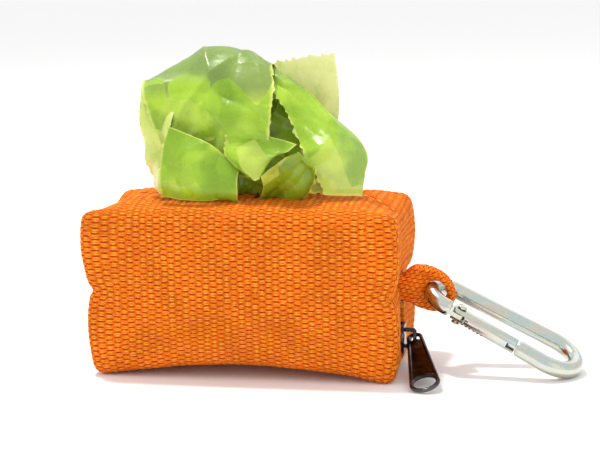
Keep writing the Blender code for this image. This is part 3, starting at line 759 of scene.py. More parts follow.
def resample(points: Sequence[Vector], step: float) -> list[Vector]:
    """The same line with points no further apart than the step."""
    made = [points[0]]
    for first, second in zip(points, points[1:]):
        parts = max(1, math.ceil((second - first).length / step))
        made += [first.lerp(second, k / parts) for k in range(1, parts + 1)]
    return made


def bead(bm: bmesh.types.BMesh, start: Vector, end: Vector, width: float, detail: int = 2) -> None:
    """A small long bead, such as one stitch, from start to end."""
    along = end - start
    turn = along.to_track_quat("Z", "Y").to_matrix().to_4x4()
    scale = Matrix.Diagonal((width / 2, width / 2, along.length / 2, 1.0))
    bmesh.ops.create_icosphere(bm, subdivisions=detail, radius=1.0,
                               matrix=Matrix.Translation((start + end) / 2) @ turn @ scale)


# ------------------------------------------------------------------ frame facts


def joint(name: str) -> dict:
    """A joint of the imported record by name."""
    return next(j for j in frame["joints"] if j["name"] == name)


ROLL_AXLE = Vector(joint("roll_spin")["pos_m"])
CENTRE = Vector((ROLL_AXLE.x, ROLL_AXLE.y, 0.0))


# ------------------------------------------------------------------ pouch


@dataclass
class PouchShape:
    """The sewn box in its own frame: X along it, Y to its back, Z up from its bottom corners."""

    length: float = 0.0870
    depth: float = 0.0420
    height: float = 0.0485
    cloth: float = 0.0014
    edge_radius: float = 0.0028
    top_dome: float = 0.0018
    top_end_drop: float = 0.0030
    bottom_arch: float = 0.0040
    face_bulge: float = 0.0012
    end_pinch: float = 0.0006
    end_bulge: float = 0.0021
    end_lean: float = 0.0014
    end_seam_height: float = 0.0250

    def rounded(self, p: Vector) -> Vector:
        """A point of the plain box moved to the box with round edges."""
        r = self.edge_radius
        half = Vector((self.length / 2, self.depth / 2, self.height / 2))
        middle = Vector((0, 0, half.z))
        q = p - middle
        core = Vector(max(-h + r, min(h - r, c)) for h, c in zip(half, q))
        out = q - core
        return middle + core + out.normalized() * r if out.length > 0 else p

    def sewn(self, p: Vector) -> Vector:
        """A point of the round-edged box moved to where the cloth sags, crowns and pinches."""
        across, deep, high = p.x / (self.length / 2), p.y / (self.depth / 2), p.z / self.height
        end = smoothstep(0.75, 1.0, abs(across))
        ridge = (1 - deep * deep) * (self.top_dome - (self.top_dome + self.top_end_drop) * end)
        foot = self.length / 2 - self.edge_radius
        arch = self.bottom_arch * max(0.0, 1 - (p.x / foot) ** 2)
        plateau = min(1.0, 2.2 * (1 - across * across)) * min(1.0, 2.2 * (1 - (2 * high - 1) ** 2))
        bulge = self.face_bulge * max(0.0, plateau) * smoothstep(0.7, 1.0, abs(deep))
        from_seam = p.z - self.end_seam_height
        seam = hill(from_seam, 1.5 * self.cloth)
        swell = abs(math.sin(math.pi * from_seam / (self.height * 0.5))) ** 0.7
        lean = self.end_lean * smoothstep(0.3, 1.0, high) if across < 0 else 0.0
        push = self.end_bulge * swell * deep * deep + lean - self.end_pinch * seam
        push *= smoothstep(0.72, 1.0, abs(across))
        lift = ridge * smoothstep(0.6, 1.0, high) + arch * (1 - smoothstep(0.0, 0.45, high))
        return Vector((p.x + math.copysign(1.0, p.x) * push, p.y + math.copysign(bulge, p.y),
                       p.z + lift))


class Side(Enum):
    """Front and back of the pouch, as the sign of Y."""

    FRONT = -1
    BACK = 1


@dataclass
class ClothPanel:
    """One woven half of the pouch, wrapped from the zip round the bottom, face and top."""

    shape: PouchShape
    side: Side
    column: float = ORANGE_CLOTH.column
    row: float = ORANGE_CLOTH.row
    relief: float = 0.00022
    across_steps: int = 176
    row_parts: int = 3
    slot_length: float = 0.0400
    slot_width: float = 0.0052
    zip_opening: float = 0.0076
    zip_top: float = 0.0200
    strap_slit: Flat = (0.0086, 0.0058)
    seam_gap: float = 0.0003
    broad_sag: Flat = (0.016, 0.00035)
    small_sag: Flat = (0.006, 0.00012)
    ridge_pull: Flat = (0.0011, 0.0008)
    lip_roll: Flat = (0.0013, 0.0007)
    hem_pull: Flat = (0.0007, 0.0004)
    hem_offset: float = 0.0032
    fold_pull: Flat = (0.0010, 0.0002)

    def weave_height(self, u: float, v: float) -> float:
        """The yarns' relief, 0 in a gap to 1 on a crown."""
        across = u / self.column
        column = math.floor(across)
        crown = max(0.0, math.sin(math.pi * (across - column))) ** CROWN_POWER
        row = v / self.row + (column % 2) / 2
        in_row = row - math.floor(row)
        return crown * (0.15 if abs(in_row - GAP_PLACE) < GAP_HALF else 1.0)

    def wall(self, bm: bmesh.types.BMesh, steps: tuple[int, int],
             place: Callable[[float, float], Vector]) -> None:
        """One flat wall of the plain box, from its place at shares (0..1, 0..1)."""
        for vert in unit_grid(bm, *steps):
            vert.co = place(vert.co.x, vert.co.y)

    def plain(self) -> bmesh.types.BMesh:
        """The open plain box of this half as fine grids, with its weave map on it."""
        s = self.shape
        long, deep = s.length / 2, s.depth / 2
        cell = self.row / self.row_parts
        depth_steps, height_steps = round(deep / cell), round(s.height / cell)
        near = self.side.value * self.seam_gap / 2
        far = self.side.value * deep
        bm = bmesh.new()
        self.wall(bm, (self.across_steps, height_steps),
                  lambda a, b: Vector((s.length * a - long, far, s.height * b)))
        for z in (0.0, s.height):
            self.wall(bm, (self.across_steps, depth_steps),
                      lambda a, b, z=z: Vector((s.length * a - long, far + (near - far) * b, z)))
        for x in (-long, long):
            self.wall(bm, (depth_steps, height_steps),
                      lambda a, b, x=x: Vector((x, far + (near - far) * a, s.height * b)))
        bmesh.ops.remove_doubles(bm, verts=bm.verts, dist=WELD)
        outward(bm)
        self.map_weave(bm)
        return bm

    def map_weave(self, bm: bmesh.types.BMesh) -> None:
        """Writes the place along (V) and across (U) the yarn columns, as the cloth is wrapped."""
        layer = bm.loops.layers.uv.new(WEAVE_UV)
        half, tall = self.shape.depth / 2, self.shape.height
        bm.normal_update()
        for face in bm.faces:
            n = face.normal
            for loop in face.loops:
                x, y, z = loop.vert.co
                inward = half - abs(y)
                if abs(n.x) > 0.5:
                    loop[layer].uv = (z, y)
                elif abs(n.y) > 0.5:
                    loop[layer].uv = (x, z)
                else:
                    loop[layer].uv = (x, tall + inward if n.z > 0 and z > tall / 2 else -inward)

    def cut_openings(self, bm: bmesh.types.BMesh) -> None:
        """Takes out the dispensing slot, the zip's opening and the strap's slits."""
        s = self.shape
        doomed = []
        for face in bm.faces:
            x, y, z = face.calc_center_median()
            on_end = abs(x) > s.length / 2 - WELD
            in_slot = abs(x) < self.slot_length / 2 and abs(y) < self.slot_width / 2
            in_slot = in_slot and z > s.height - WELD
            in_zip = abs(y) < self.zip_opening / 2 and (z < WELD or on_end and z < self.zip_top)
            high = abs(z - s.end_seam_height) < self.strap_slit[1] / 2
            in_slit = on_end and x > 0 and abs(y) < self.strap_slit[0] / 2 and high
            if in_slot or in_zip or in_slit:
                doomed.append(face)
        bmesh.ops.delete(bm, geom=doomed, context="FACES")

    def relax(self, bm: bmesh.types.BMesh) -> None:
        """Rounds, sags and wrinkles the cloth, then raises the yarns."""
        s = self.shape
        layer = bm.loops.layers.uv[WEAVE_UV]
        lift = {v: self.weave_height(*v.link_loops[0][layer].uv) for v in bm.verts}
        for vert in bm.verts:
            vert.co = s.sewn(s.rounded(vert.co))
        bm.normal_update()
        moved = {}
        for vert in bm.verts:
            p = vert.co
            near_seam = smoothstep(0.0, 0.0030, abs(p.y))
            broad = noise.noise(p / self.broad_sag[0] + Vector((3.1, self.side.value, 0.0)))
            small = noise.noise(p / self.small_sag[0] + Vector((0.0, 7.7, self.side.value)))
            push = (self.broad_sag[1] * broad + self.small_sag[1] * small) * near_seam
            push += (lift[vert] - 0.5) * self.relief * max(near_seam, 0.4)
            moved[vert] = p + vert.normal * push + self.sewing(p)
        for vert, p in moved.items():
            vert.co = p + CENTRE

    def sewing(self, p: Vector) -> Vector:
        """How far the stitching pulls a point along the ridge, the slot's hem and the end seams."""
        s, slot_end = self.shape, self.slot_length / 2
        top = smoothstep(s.height - 0.004, s.height - 0.001, p.z)
        outside = smoothstep(slot_end - 0.001, slot_end + 0.003, abs(p.x))
        from_lip = abs(p.y) - self.slot_width / 2
        ridge = hill(p.y, self.ridge_pull[0]) * outside * top
        lip = hill(from_lip, self.lip_roll[0]) * (1 - outside) * top
        hem = hill(from_lip - self.hem_offset, self.hem_pull[0]) * (1 - outside) * top
        fold = hill(p.z - s.end_seam_height, self.fold_pull[0])
        fold *= smoothstep(0.93, 1.0, abs(p.x) / (s.length / 2))
        down = self.ridge_pull[1] * ridge - self.lip_roll[1] * lip + self.hem_pull[1] * hem
        return Vector((-self.fold_pull[1] * fold * math.copysign(1.0, p.x), 0.0, -down))

    def build(self) -> None:
        """Makes the panel."""
        word = self.side.name.lower()
        bm = self.plain()
        self.cut_openings(bm)
        self.relax(bm)
        obj = make_piece(word + "_cloth", bm, ORANGE_CLOTH, "pouch", replaces=[word + "_panel"])
        wall = obj.modifiers.new("cloth", "SOLIDIFY")
        wall.thickness = self.shape.cloth
        wall.offset = -1


@dataclass
class Stitching:
    """The threads that show: rows beside the slot and the zip, and bar tacks at the slot's ends."""

    shape: PouchShape
    length: float = 0.0022
    gap: float = 0.0009
    thread: float = 0.00045
    row_offset: float = 0.0059
    slot_row: float = 0.0215
    tack_bars: int = 7
    tack_lean: float = 0.0003
    tack_sink: float = 0.0003

    def row(self, bm: bmesh.types.BMesh, start: Vector, end: Vector, lift: Vector) -> None:
        """A row of stitches on the sewn surface between two points of the plain box."""
        s = self.shape
        pitch = self.length + self.gap
        count = int((end - start).length / pitch)
        along = (end - start).normalized()
        for i in range(count):
            a = s.sewn(start + along * (i * pitch))
            b = s.sewn(start + along * (i * pitch + self.length))
            bead(bm, CENTRE + a + lift, CENTRE + b + lift, self.thread)

    def build(self) -> None:
        """Makes the stitch rows and the tacks."""
        s = self.shape
        foot, top = s.length / 2 - s.edge_radius, s.height
        bm = bmesh.new()
        for y in (-self.row_offset, self.row_offset):
            for reach, z, lift in ((self.slot_row, top, 0.00008), (foot, 0, -0.00002)):
                self.row(bm, Vector((-reach, y, z)), Vector((reach, y, z)), Vector((0, 0, lift)))
        make_piece("hem_stitches", bm, ORANGE_THREAD, "pouch")
        for name in ("left", "right"):
            low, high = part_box("slot_tack_" + name)
            bm = bmesh.new()
            for i in range(self.tack_bars):
                x = low.x + (high.x - low.x) * (i + 0.5) / self.tack_bars
                lean = self.tack_lean * (-1) ** i
                z = (low.z + high.z) / 2 - self.tack_sink
                bead(bm, Vector((x - lean, low.y, z)), Vector((x + lean, high.y, z)), self.thread)
            make_piece("tack_stitches_" + name, bm, ORANGE_THREAD, "pouch",
                       replaces=["slot_tack_" + name])
        dress("thread_tail", BLACK_THREAD)


# ------------------------------------------------------------------ zip


@dataclass
class Zip:
    """Tapes, coil teeth, stops, slider and pull."""

    shape: PouchShape
    pitch: float = 0.00105
    wire: float = 0.00042
    coil: Flat = (0.0017, 0.0010)
    coil_depth: float = 0.0005
    middle_gap: float = 0.0003
    chain_top: float = 0.0180
    pull_length: float = 0.0255
    pull_eye: float = 0.0024
    pull_ring: float = 0.0043
    pull_rim: float = 0.0012
    web: float = 0.0007
    soft_edge: float = 0.00014
    loop_sides: int = 5
    loop_steps: int = 10

    def chain_line(self) -> list[Vector]:
        """The coil's middle line: down the right end, along the bottom and up the left end."""
        s = self.shape
        half, r = s.length / 2, s.edge_radius
        right = [Vector((half, 0, self.chain_top)), Vector((half, 0, r))]
        right += [Vector((x, 0, z)) for x, z in arc((half - r, r), r, 0, -math.pi / 2, 12)]
        line = right + [Vector((-p.x, 0, p.z)) for p in reversed(right)]
        line = [s.sewn(p) for p in resample(line, MM)]
        inward = self.coil_depth + self.coil[1] / 2
        return [p + Vector((along.z, 0, -along.x)) * inward
                for p, along in zip(line, directions(line))]

    def build_coils(self) -> None:
        """A row of wire loops each side of the zip's middle, half a pitch apart."""
        line = resample(self.chain_line(), self.pitch / 8)
        travelled = distances(line)
        for name, side in (("front", -1), ("back", 1)):
            bm = bmesh.new()
            wanted = self.pitch * (0.5 if side > 0 else 1.0)
            for i in range(1, len(line) - 1):
                if travelled[i] < wanted:
                    continue
                wanted += self.pitch
                along = (line[i + 1] - line[i - 1]).normalized()
                out = Vector((-along.z, 0, along.x))
                y = side * (self.middle_gap + self.coil[0] * 0.5)
                self.loop(bm, CENTRE + line[i] + Vector((0, y, 0)), along, out)
            make_piece("coil_loops_" + name, bm, BLACK_NYLON, "pouch",
                       replaces=["zip_coil_" + name])

    def loop(self, bm: bmesh.types.BMesh, place: Vector, along: Vector, out: Vector) -> None:
        """One closed loop of the coil."""
        turn = Matrix.Translation((0.5 * (self.coil[1] - self.wire), 0, 0))
        turn = turn @ Matrix.Rotation(math.pi / 2, 4, "X")
        ring = bmesh.ops.create_circle(bm, segments=self.loop_sides, radius=self.wire / 2,
                                       matrix=turn)
        geom = ring["verts"] + list({e for v in ring["verts"] for e in v.link_edges})
        bmesh.ops.spin(bm, geom=geom, cent=(0, 0, 0), axis=(0, 0, 1), angle=2 * math.pi,
                       steps=self.loop_steps, use_merge=True)
        fresh = [v for v in bm.verts if v.index == -1 or not v.tag]
        wide = self.coil[0] / self.coil[1]
        for vert in fresh:
            x, y, z = vert.co
            vert.co = place + out * x + Vector((0, 1, 0)) * (y * wide) + along * z
            vert.tag = True

    def build_slider(self) -> None:
        """The slider with soft edges, from its frame solid."""
        bm = cad_copy("zip_slider")
        bevel_sharp(bm, self.soft_edge)
        make_piece("slider_body", bm, GUNMETAL, "slider", replaces=["zip_slider"], sharp_deg=50)

    def build_pull(self) -> None:
        """The pull tab: a thin web with a round rim along its edge, its ring and its eye."""
        cad = frame["nodes"]["zip_pull"].data
        pivot = Vector(joint("pull_swing")["pos_m"])
        flat = max(cad.polygons, key=lambda f: f.area).normal.copy()
        middle = sum((v.co for v in cad.vertices), Vector()) / len(cad.vertices)
        along = (middle - pivot).normalized()
        along = (along - flat * along.dot(flat)).normalized()
        place = at_axes(pivot, along, flat.cross(along), flat)
        rim, long = self.pull_rim / 2, self.pull_length
        lean = math.asin((self.pull_ring - self.pull_eye) / long)
        top = math.pi / 2 + lean
        edge = arc((0, 0), self.pull_eye - rim, top, 2 * math.pi - top, 20)
        edge += arc((long, 0), self.pull_ring - rim, -top, top, 36)
        bm = bmesh.new()
        self.rim_loop(bm, place, edge, rim)
        ring = arc((long, 0), self.pull_ring - rim, 0, 2 * math.pi, 48)[:-1]
        self.rim_loop(bm, place, ring, rim * 1.02)
        eye = self.pull_eye
        hollow = arc((long, 0), self.pull_ring - rim, math.pi * 1.28, math.pi * 0.72, 14)
        outline = [(eye * 0.9, -eye * 0.8), *hollow, (eye * 0.9, eye * 0.8)]
        plate(bm, [place @ Vector((x, y, -self.web / 2)) for x, y in outline], flat * self.web)
        ends = arc((eye * 0.95, 0), eye * 0.55, math.pi / 2, -math.pi / 2, 2)
        self.rim_loop(bm, place, [*ends, (eye * 0.7, 0)], rim * 0.9)
        outward(bm)
        make_piece("pull_tab", bm, GUNMETAL, "pull", replaces=["zip_pull"], sharp_deg=50)

    def rim_loop(self, bm: bmesh.types.BMesh, place: Matrix, outline: list[Flat],
                 radius: float) -> None:
        """A round wire along a closed flat outline."""
        line = [place @ Vector((x, y, 0)) for x, y in outline]
        count = len(line)
        side = place.to_3x3() @ Vector((0, 0, 1))
        frames = []
        for i in range(count + 1):
            along = (line[(i + 1) % count] - line[(i - 1) % count]).normalized()
            frames.append(frame_at(line[i % count], along, side))
        sweep(bm, frames, lambda t: oval(radius * 2, radius * 2, 12), caps=False)
        bmesh.ops.remove_doubles(bm, verts=bm.verts, dist=WELD)

    def build(self) -> None:
        """Makes the whole zip."""
        self.build_coils()
        self.build_slider()
        self.build_pull()
        for side in ("front", "back"):
            dress("zip_tape_" + side, BLACK_TAPE)
            dress("zip_top_stop_" + side, GUNMETAL)
        dress("zip_bottom_stop", GUNMETAL)


# ------------------------------------------------------------------ strap


@dataclass
class StrapLoop:
    """The woven loop that holds the hook: flat where it is sewn, bunched round in the hook."""

    shape: PouchShape
    width: float = 0.0080
    bight_width: float = 0.0042
    thickness: float = 0.0026
    tail: float = 0.0050
    hole: Flat = (0.0052, 0.0041)
    droop: float = 0.20
    roll: float = math.radians(10)
    fill: Flat = (3.0, 1.9)
    cover: float = 1.2
    step: float = 0.00035
    sides: int = 36
    bight_steps: int = 60
    lumps: tuple[Flat, Flat] = ((0.0022, 0.00022), (0.0009, 0.00016))

    def line(self) -> list[Vector]:
        """The strap's middle line, from one sewn tail round the bight to the other."""
        half, t = self.shape.length / 2, self.thickness
        middle = half + self.hole[0] + t
        across, up = self.hole[0] + t / 2, self.hole[1] + t / 2
        start = math.pi - math.asin(t / 2 / up)
        loop = [Vector((middle + across * math.cos(a), 0, up * math.sin(a)))
                for a in (start - 2 * start * i / self.bight_steps
                          for i in range(self.bight_steps + 1))]
        ends = [Vector((half - self.tail, 0, t / 2)), Vector((half - self.tail, 0, -t / 2))]
        return resample([ends[0], *loop, ends[1]], self.step)

    def build(self) -> None:
        """Sweeps a section that goes from flat to bunched along the line."""
        half = self.shape.length / 2
        line = self.line()
        middle = half + self.hole[0] + self.thickness
        share = [smoothstep(half, middle, p.x) for p in line]

        def section(t: float) -> list[Flat]:
            """Flat in the tails, round in the bight, and filled out on its inner side."""
            i = min(len(share) - 1, round(t * (len(share) - 1)))
            out, x = share[i], line[i].x
            wide = self.width + (self.bight_width - self.width) * out
            upper = t < 0.5
            full = self.fill[0 if upper else 1]
            full *= 1 - smoothstep(middle - 0.0035, middle + 0.0015, x)
            full += self.cover * upper * (1 - smoothstep(middle + 0.0010, middle + 0.0045, x))
            points = oval(wide, self.thickness, self.sides, 0.55 + 0.35 * out)
            return [(x, y * (1 + full) if y < 0 else y) for x, y in points]

        bm = bmesh.new()
        index = sweep(bm, frames_along(line, Vector((0, 1, 0))), section)
        layer = bm.loops.layers.uv.new(WEAVE_UV)
        around = 2 * (self.width + self.thickness) * 0.8
        bm.normal_update()
        for face in bm.faces:
            if abs(face.normal.y) > 0.4:
                for loop in face.loops:
                    x, _, z = loop.vert.co
                    loop[layer].uv = (x * 0.9 + z * 0.45, z * 0.9 - x * 0.45)
                continue
            numbers = [index[loop.vert][1] for loop in face.loops]
            wraps = max(numbers) - min(numbers) > self.sides / 2
            for loop, j in zip(face.loops, numbers):
                j += self.sides if wraps and j < self.sides / 2 else 0
                loop[layer].uv = (around * j / self.sides, index[loop.vert][0] * self.step)
        bm.normal_update()
        for vert in bm.verts:
            lump = sum(height * noise.noise(vert.co / size) for size, height in self.lumps)
            vert.co += vert.normal * lump * share[index[vert][0]]
        for vert in bm.verts:
            x, y, z = vert.co
            out = smoothstep(half, middle, x)
            spun = Matrix.Rotation(self.roll * out, 3, "X") @ Vector((0, y, z))
            drop = self.droop * max(0.0, x - half)
            vert.co = CENTRE + Vector((x, spun.y, self.shape.end_seam_height + spun.z - drop))
        outward(bm)
        make_piece("strap_weave", bm, ORANGE_STRAP, "pouch", slot="orange_cloth",
                   replaces=["strap_loop"])


# ------------------------------------------------------------------ hook


@dataclass
class SnapHook:
    """A stamped wire snap hook: body, forked gate, rivet and their edge marks."""

    length: float = 0.0500
    wire: float = 0.0048
    near_bend: float = 0.0062
    far_bend: float = 0.0080
    gate_length: float = 0.0182
    gate_diameter: float = 0.0044
    clearance: float = 0.0003
    loose: float = 0.0007
    tongue: float = 0.0014
    tongue_radius: float = 0.0019
    nose: Point = (0.0010, 0.0022, 0.0022)
    nose_edge: float = 0.00015
    gate_edge: float = 0.00018
    sides: int = 28
    arc_steps: int = 72
    step: float = 0.0008
    end_share: float = 0.86
    end_ease: float = 0.0006
    ridges: int = 7
    first_ridge: float = 0.0008
    ridge_pitch: float = 0.00125
    ridge_size: Point = (0.00034, 0.0003, 0.0011)
    ridge_sink: float = 0.00008
    rivet_head: float = 0.0013
    rivet_shaft: float = 0.00075
    rivet_height: float = 0.0005

    def frames(self) -> tuple[Matrix, Matrix]:
        """The hook's frame (X to the far bend, Y to the spine) and the gate's (X to the nose)."""
        swing, gate = joint("hook_swing"), joint("gate_open")
        z = Vector(gate["axis"]).normalized()
        y = -Vector(swing["axis"]).normalized()
        hook = at_axes(swing["pos_m"], y.cross(z), y, z)
        leant = hook.to_3x3() @ Matrix.Rotation(-self.lean(), 3, "Z")
        return hook, Matrix.Translation(gate["pos_m"]) @ leant.to_4x4()

    def between(self) -> float:
        """The distance between the two bends' centres."""
        return self.length - self.wire - self.far_bend - self.near_bend

    def lean(self) -> float:
        """How far the straight sides open towards the wider bend, in radians."""
        return math.asin((self.far_bend - self.near_bend) / self.between())

    def wire_line(self, hook: Matrix, gate: Matrix) -> list[Vector]:
        """The wire's middle line from the gate's pivot round both bends to the nose."""
        between, top = self.between(), math.pi / 2 + self.lean()
        near = arc((self.near_bend, 0), self.near_bend, top, 2 * math.pi - top, self.arc_steps)
        far = arc((self.near_bend + between, 0), self.far_bend, -top, top, self.arc_steps)
        radius = self.gate_diameter / 2
        into = hook.inverted() @ gate
        stub = into @ Vector((-radius - self.loose, 0, 0))
        nose = into @ Vector((self.gate_length + self.clearance, 0, 0))
        route = [stub] + [Vector((u, v, 0)) for u, v in near[::-1] + far[::-1]] + [nose]
        return resample(route, self.step)

    def build(self) -> None:
        """Makes the hook."""
        hook, gate = self.frames()
        self.build_body(hook, gate)
        bm = cad_copy("hook_gate")
        bevel_sharp(bm, self.gate_edge)
        self.knurl(bm, gate)
        make_piece("gate_bar", bm, ZINC, "gate", replaces=["hook_gate"], sharp_deg=35)
        self.build_rivet(gate)
        dress("gate_spring", SPRING)
        dress("gate_plunger", ZINC)

    def build_body(self, hook: Matrix, gate: Matrix) -> None:
        """The bent wire, its pivot tongue and its nose tongue."""
        line = self.wire_line(hook, gate)
        travelled = distances(line)
        last = len(line) - 1

        def section(t: float) -> list[Flat]:
            """A round section, rounded off at both ends of the wire."""
            place = travelled[min(last, round(t * last))]
            edge = min(place, travelled[-1] - place)
            ease = math.sqrt(1 - (1 - min(1.0, edge / self.end_ease)) ** 2)
            across = self.wire * (self.end_share + (1 - self.end_share) * ease)
            return oval(across, across, self.sides)

        bm = bmesh.new()
        sweep(bm, [hook @ place for place in frames_along(line, Vector((0, 0, 1)))], section)
        self.tongue_plate(bm, gate)
        thick, reach, tall = self.nose
        low, high = self.gate_length - reach, self.gate_length + 2 * self.loose
        middle = gate @ Matrix.Translation(((low + high) / 2, 0, 0))
        middle = middle @ Matrix.Diagonal((high - low, tall, thick, 1))
        cube = bmesh.ops.create_cube(bm, size=1, matrix=middle)["verts"]
        edges = list({e for v in cube for e in v.link_edges})
        bmesh.ops.bevel(bm, geom=edges, offset=self.nose_edge, segments=2, profile=0.5,
                        affect="EDGES", material=-1)
        outward(bm)
        make_piece("hook_wire", bm, ZINC, "hook", replaces=["hook_body"])

    def tongue_plate(self, bm: bmesh.types.BMesh, gate: Matrix) -> None:
        """The flat tongue that the rivet goes through, as a round-ended plate."""
        r, back = self.tongue_radius, -self.gate_diameter / 2 - 3 * self.loose
        outline = arc((0, 0), r, -math.pi / 2, math.pi / 2, 18) + [(back, r), (back, -r)]
        plate(bm, [gate @ Vector((x, y, -self.tongue / 2)) for x, y in outline],
              gate.to_3x3() @ Vector((0, 0, self.tongue)))

    def knurl(self, bm: bmesh.types.BMesh, gate: Matrix) -> None:
        """Small crimp ridges on the gate's outer edge near its pivot."""
        radius = self.gate_diameter / 2
        tilt = Matrix.Rotation(math.radians(24), 4, "Y")
        round_to = Matrix.Rotation(math.radians(58), 4, "X")
        for i in range(self.ridges):
            x = self.first_ridge + i * self.ridge_pitch
            place = (gate @ round_to @ Matrix.Translation((x, -radius + self.ridge_sink, 0)) @ tilt
                     @ Matrix.Diagonal((*self.ridge_size, 1)))
            bmesh.ops.create_icosphere(bm, subdivisions=2, radius=1.0, matrix=place)

    def build_rivet(self, gate: Matrix) -> None:
        """The rivet with a domed head and a ring pressed round it on each face."""
        head = self.rivet_head
        under = self.gate_diameter / 2 + self.clearance
        top = under + self.rivet_height
        face = ((0.0, 0.0), (0.45, 0.00002), (0.55, 0.00018), (0.7, 0.00018), (0.82, 0.00004),
                (1.0, 0.0002))
        profile = [(head * share, top - drop) for share, drop in face]
        profile += [(head, under), (self.rivet_shaft, under)]
        profile += [(r, -z) for r, z in reversed(profile)]
        bm = bmesh.new()
        turned(bm, [(r, 0, z) for r, z in profile], (0, 0, 1), 32)
        bmesh.ops.remove_doubles(bm, verts=bm.verts, dist=WELD)
        outward(bm)
        bmesh.ops.transform(bm, matrix=gate, verts=bm.verts)
        make_piece("rivet_head", bm, ZINC, "hook", replaces=["gate_rivet"])


# ------------------------------------------------------------------ bags


@dataclass
class FilmSheet:
    """One fold of the crumpled bag film, from a net of millimetre points in the pouch's frame."""

    name: str
    net: Sequence[Sequence[Point]]
    flat: Flat
    held: str = "gathered"
    finish: Finish = LIME_FILM
    torn: tuple[bool, bool, bool, bool] = (False, False, False, True)
    crumple: float = 1.0
    seed: float = 1.0
    steps: int = 84
    fold_count: int = 11
    fold_reach: Flat = (0.001, 0.005)
    billow: Flat = (0.012, 0.0016)
    crease: Flat = (0.0045, 0.0003)
    tooth: float = 0.00055
    tooth_size: float = 0.0011
    tooth_lift: float = 0.0005

    @staticmethod
    def spline(points: Sequence[Vector], t: float) -> Vector:
        """A smooth line through the points at the share t."""
        span = len(points) - 1
        i = min(int(t * span), span - 1)
        f = t * span - i
        b, c = points[i], points[i + 1]
        a = points[i - 1] if i else b * 2 - c
        d = points[i + 2] if i + 2 <= span else c * 2 - b
        return ((b * 2) + (c - a) * f + (a * 2 - b * 5 + c * 4 - d) * f * f
                + (b * 3 - a - c * 3 + d) * f * f * f) * 0.5

    def folds(self) -> list[tuple[Flat, float, float, float]]:
        """Straight creases: each one's direction across the sheet, place, slope and reach."""
        draw = random.Random(self.seed)
        made = []
        for _ in range(self.fold_count):
            angle = draw.uniform(0, math.pi)
            middle = draw.uniform(-0.45, 0.45) * min(self.flat)
            slope = draw.uniform(-0.55, 0.55)
            reach = draw.uniform(*self.fold_reach)
            made.append(((math.cos(angle), math.sin(angle)), middle, slope, reach))
        return made

    def place(self, s: float, t: float) -> Vector:
        """The smooth sheet's point at shares across and along."""
        rows = [self.spline([Vector(p) for p in row], s) for row in self.net]
        return self.spline(rows, t) * MM

    def build(self) -> bpy.types.Object:
        """Makes the fold."""
        bm = bmesh.new()
        edge = 0.5 / self.steps
        share = {}
        for vert in unit_grid(bm, self.steps, self.steps):
            s, t = vert.co.x, vert.co.y
            share[vert] = (s, t)
            vert.co = self.place(s, t)
        layer = bm.loops.layers.uv.new(FILM_UV)
        for face in bm.faces:
            for loop in face.loops:
                s, t = share[loop.vert]
                loop[layer].uv = (s - 0.5, t - 0.5)
        bm.normal_update()
        moved = {}
        folds = self.folds()
        for vert, (s, t) in share.items():
            p, n = vert.co, vert.normal
            push = self.billow[1] * noise.noise(p / self.billow[0] + Vector((self.seed, 0, 0)))
            push += self.crease[1] * creases(p, self.crease[0], self.seed + 4.2)
            for (a, b), middle, slope, reach in folds:
                away = abs(a * (s - 0.5) * self.flat[0] + b * (t - 0.5) * self.flat[1] - middle)
                push += slope * reach * math.tanh(away / reach)
            q = p + n * (push * self.crumple)
            rim = (t < edge, s < edge, s > 1 - edge, t > 1 - edge)
            if any(torn and on for torn, on in zip(self.torn, rim)):
                jag = noise.noise(p / self.tooth_size + Vector((self.seed, 0, 9)))
                inside = self.place(*(min(max(c, 0.04), 0.96) for c in (s, t)))
                away = (p - inside).normalized()
                q += away * (self.tooth * max(-0.3, jag * 2.2)) + n * (self.tooth_lift * jag)
            moved[vert] = q + CENTRE
        for vert, q in moved.items():
            vert.co = q
        bmesh.ops.solidify(bm, geom=bm.faces[:], thickness=FILM_THICKNESS)
        outward(bm)
        obj = make_piece(self.name, bm, self.finish, "bag", slot="lime_film", sharp_deg=60)
        return obj


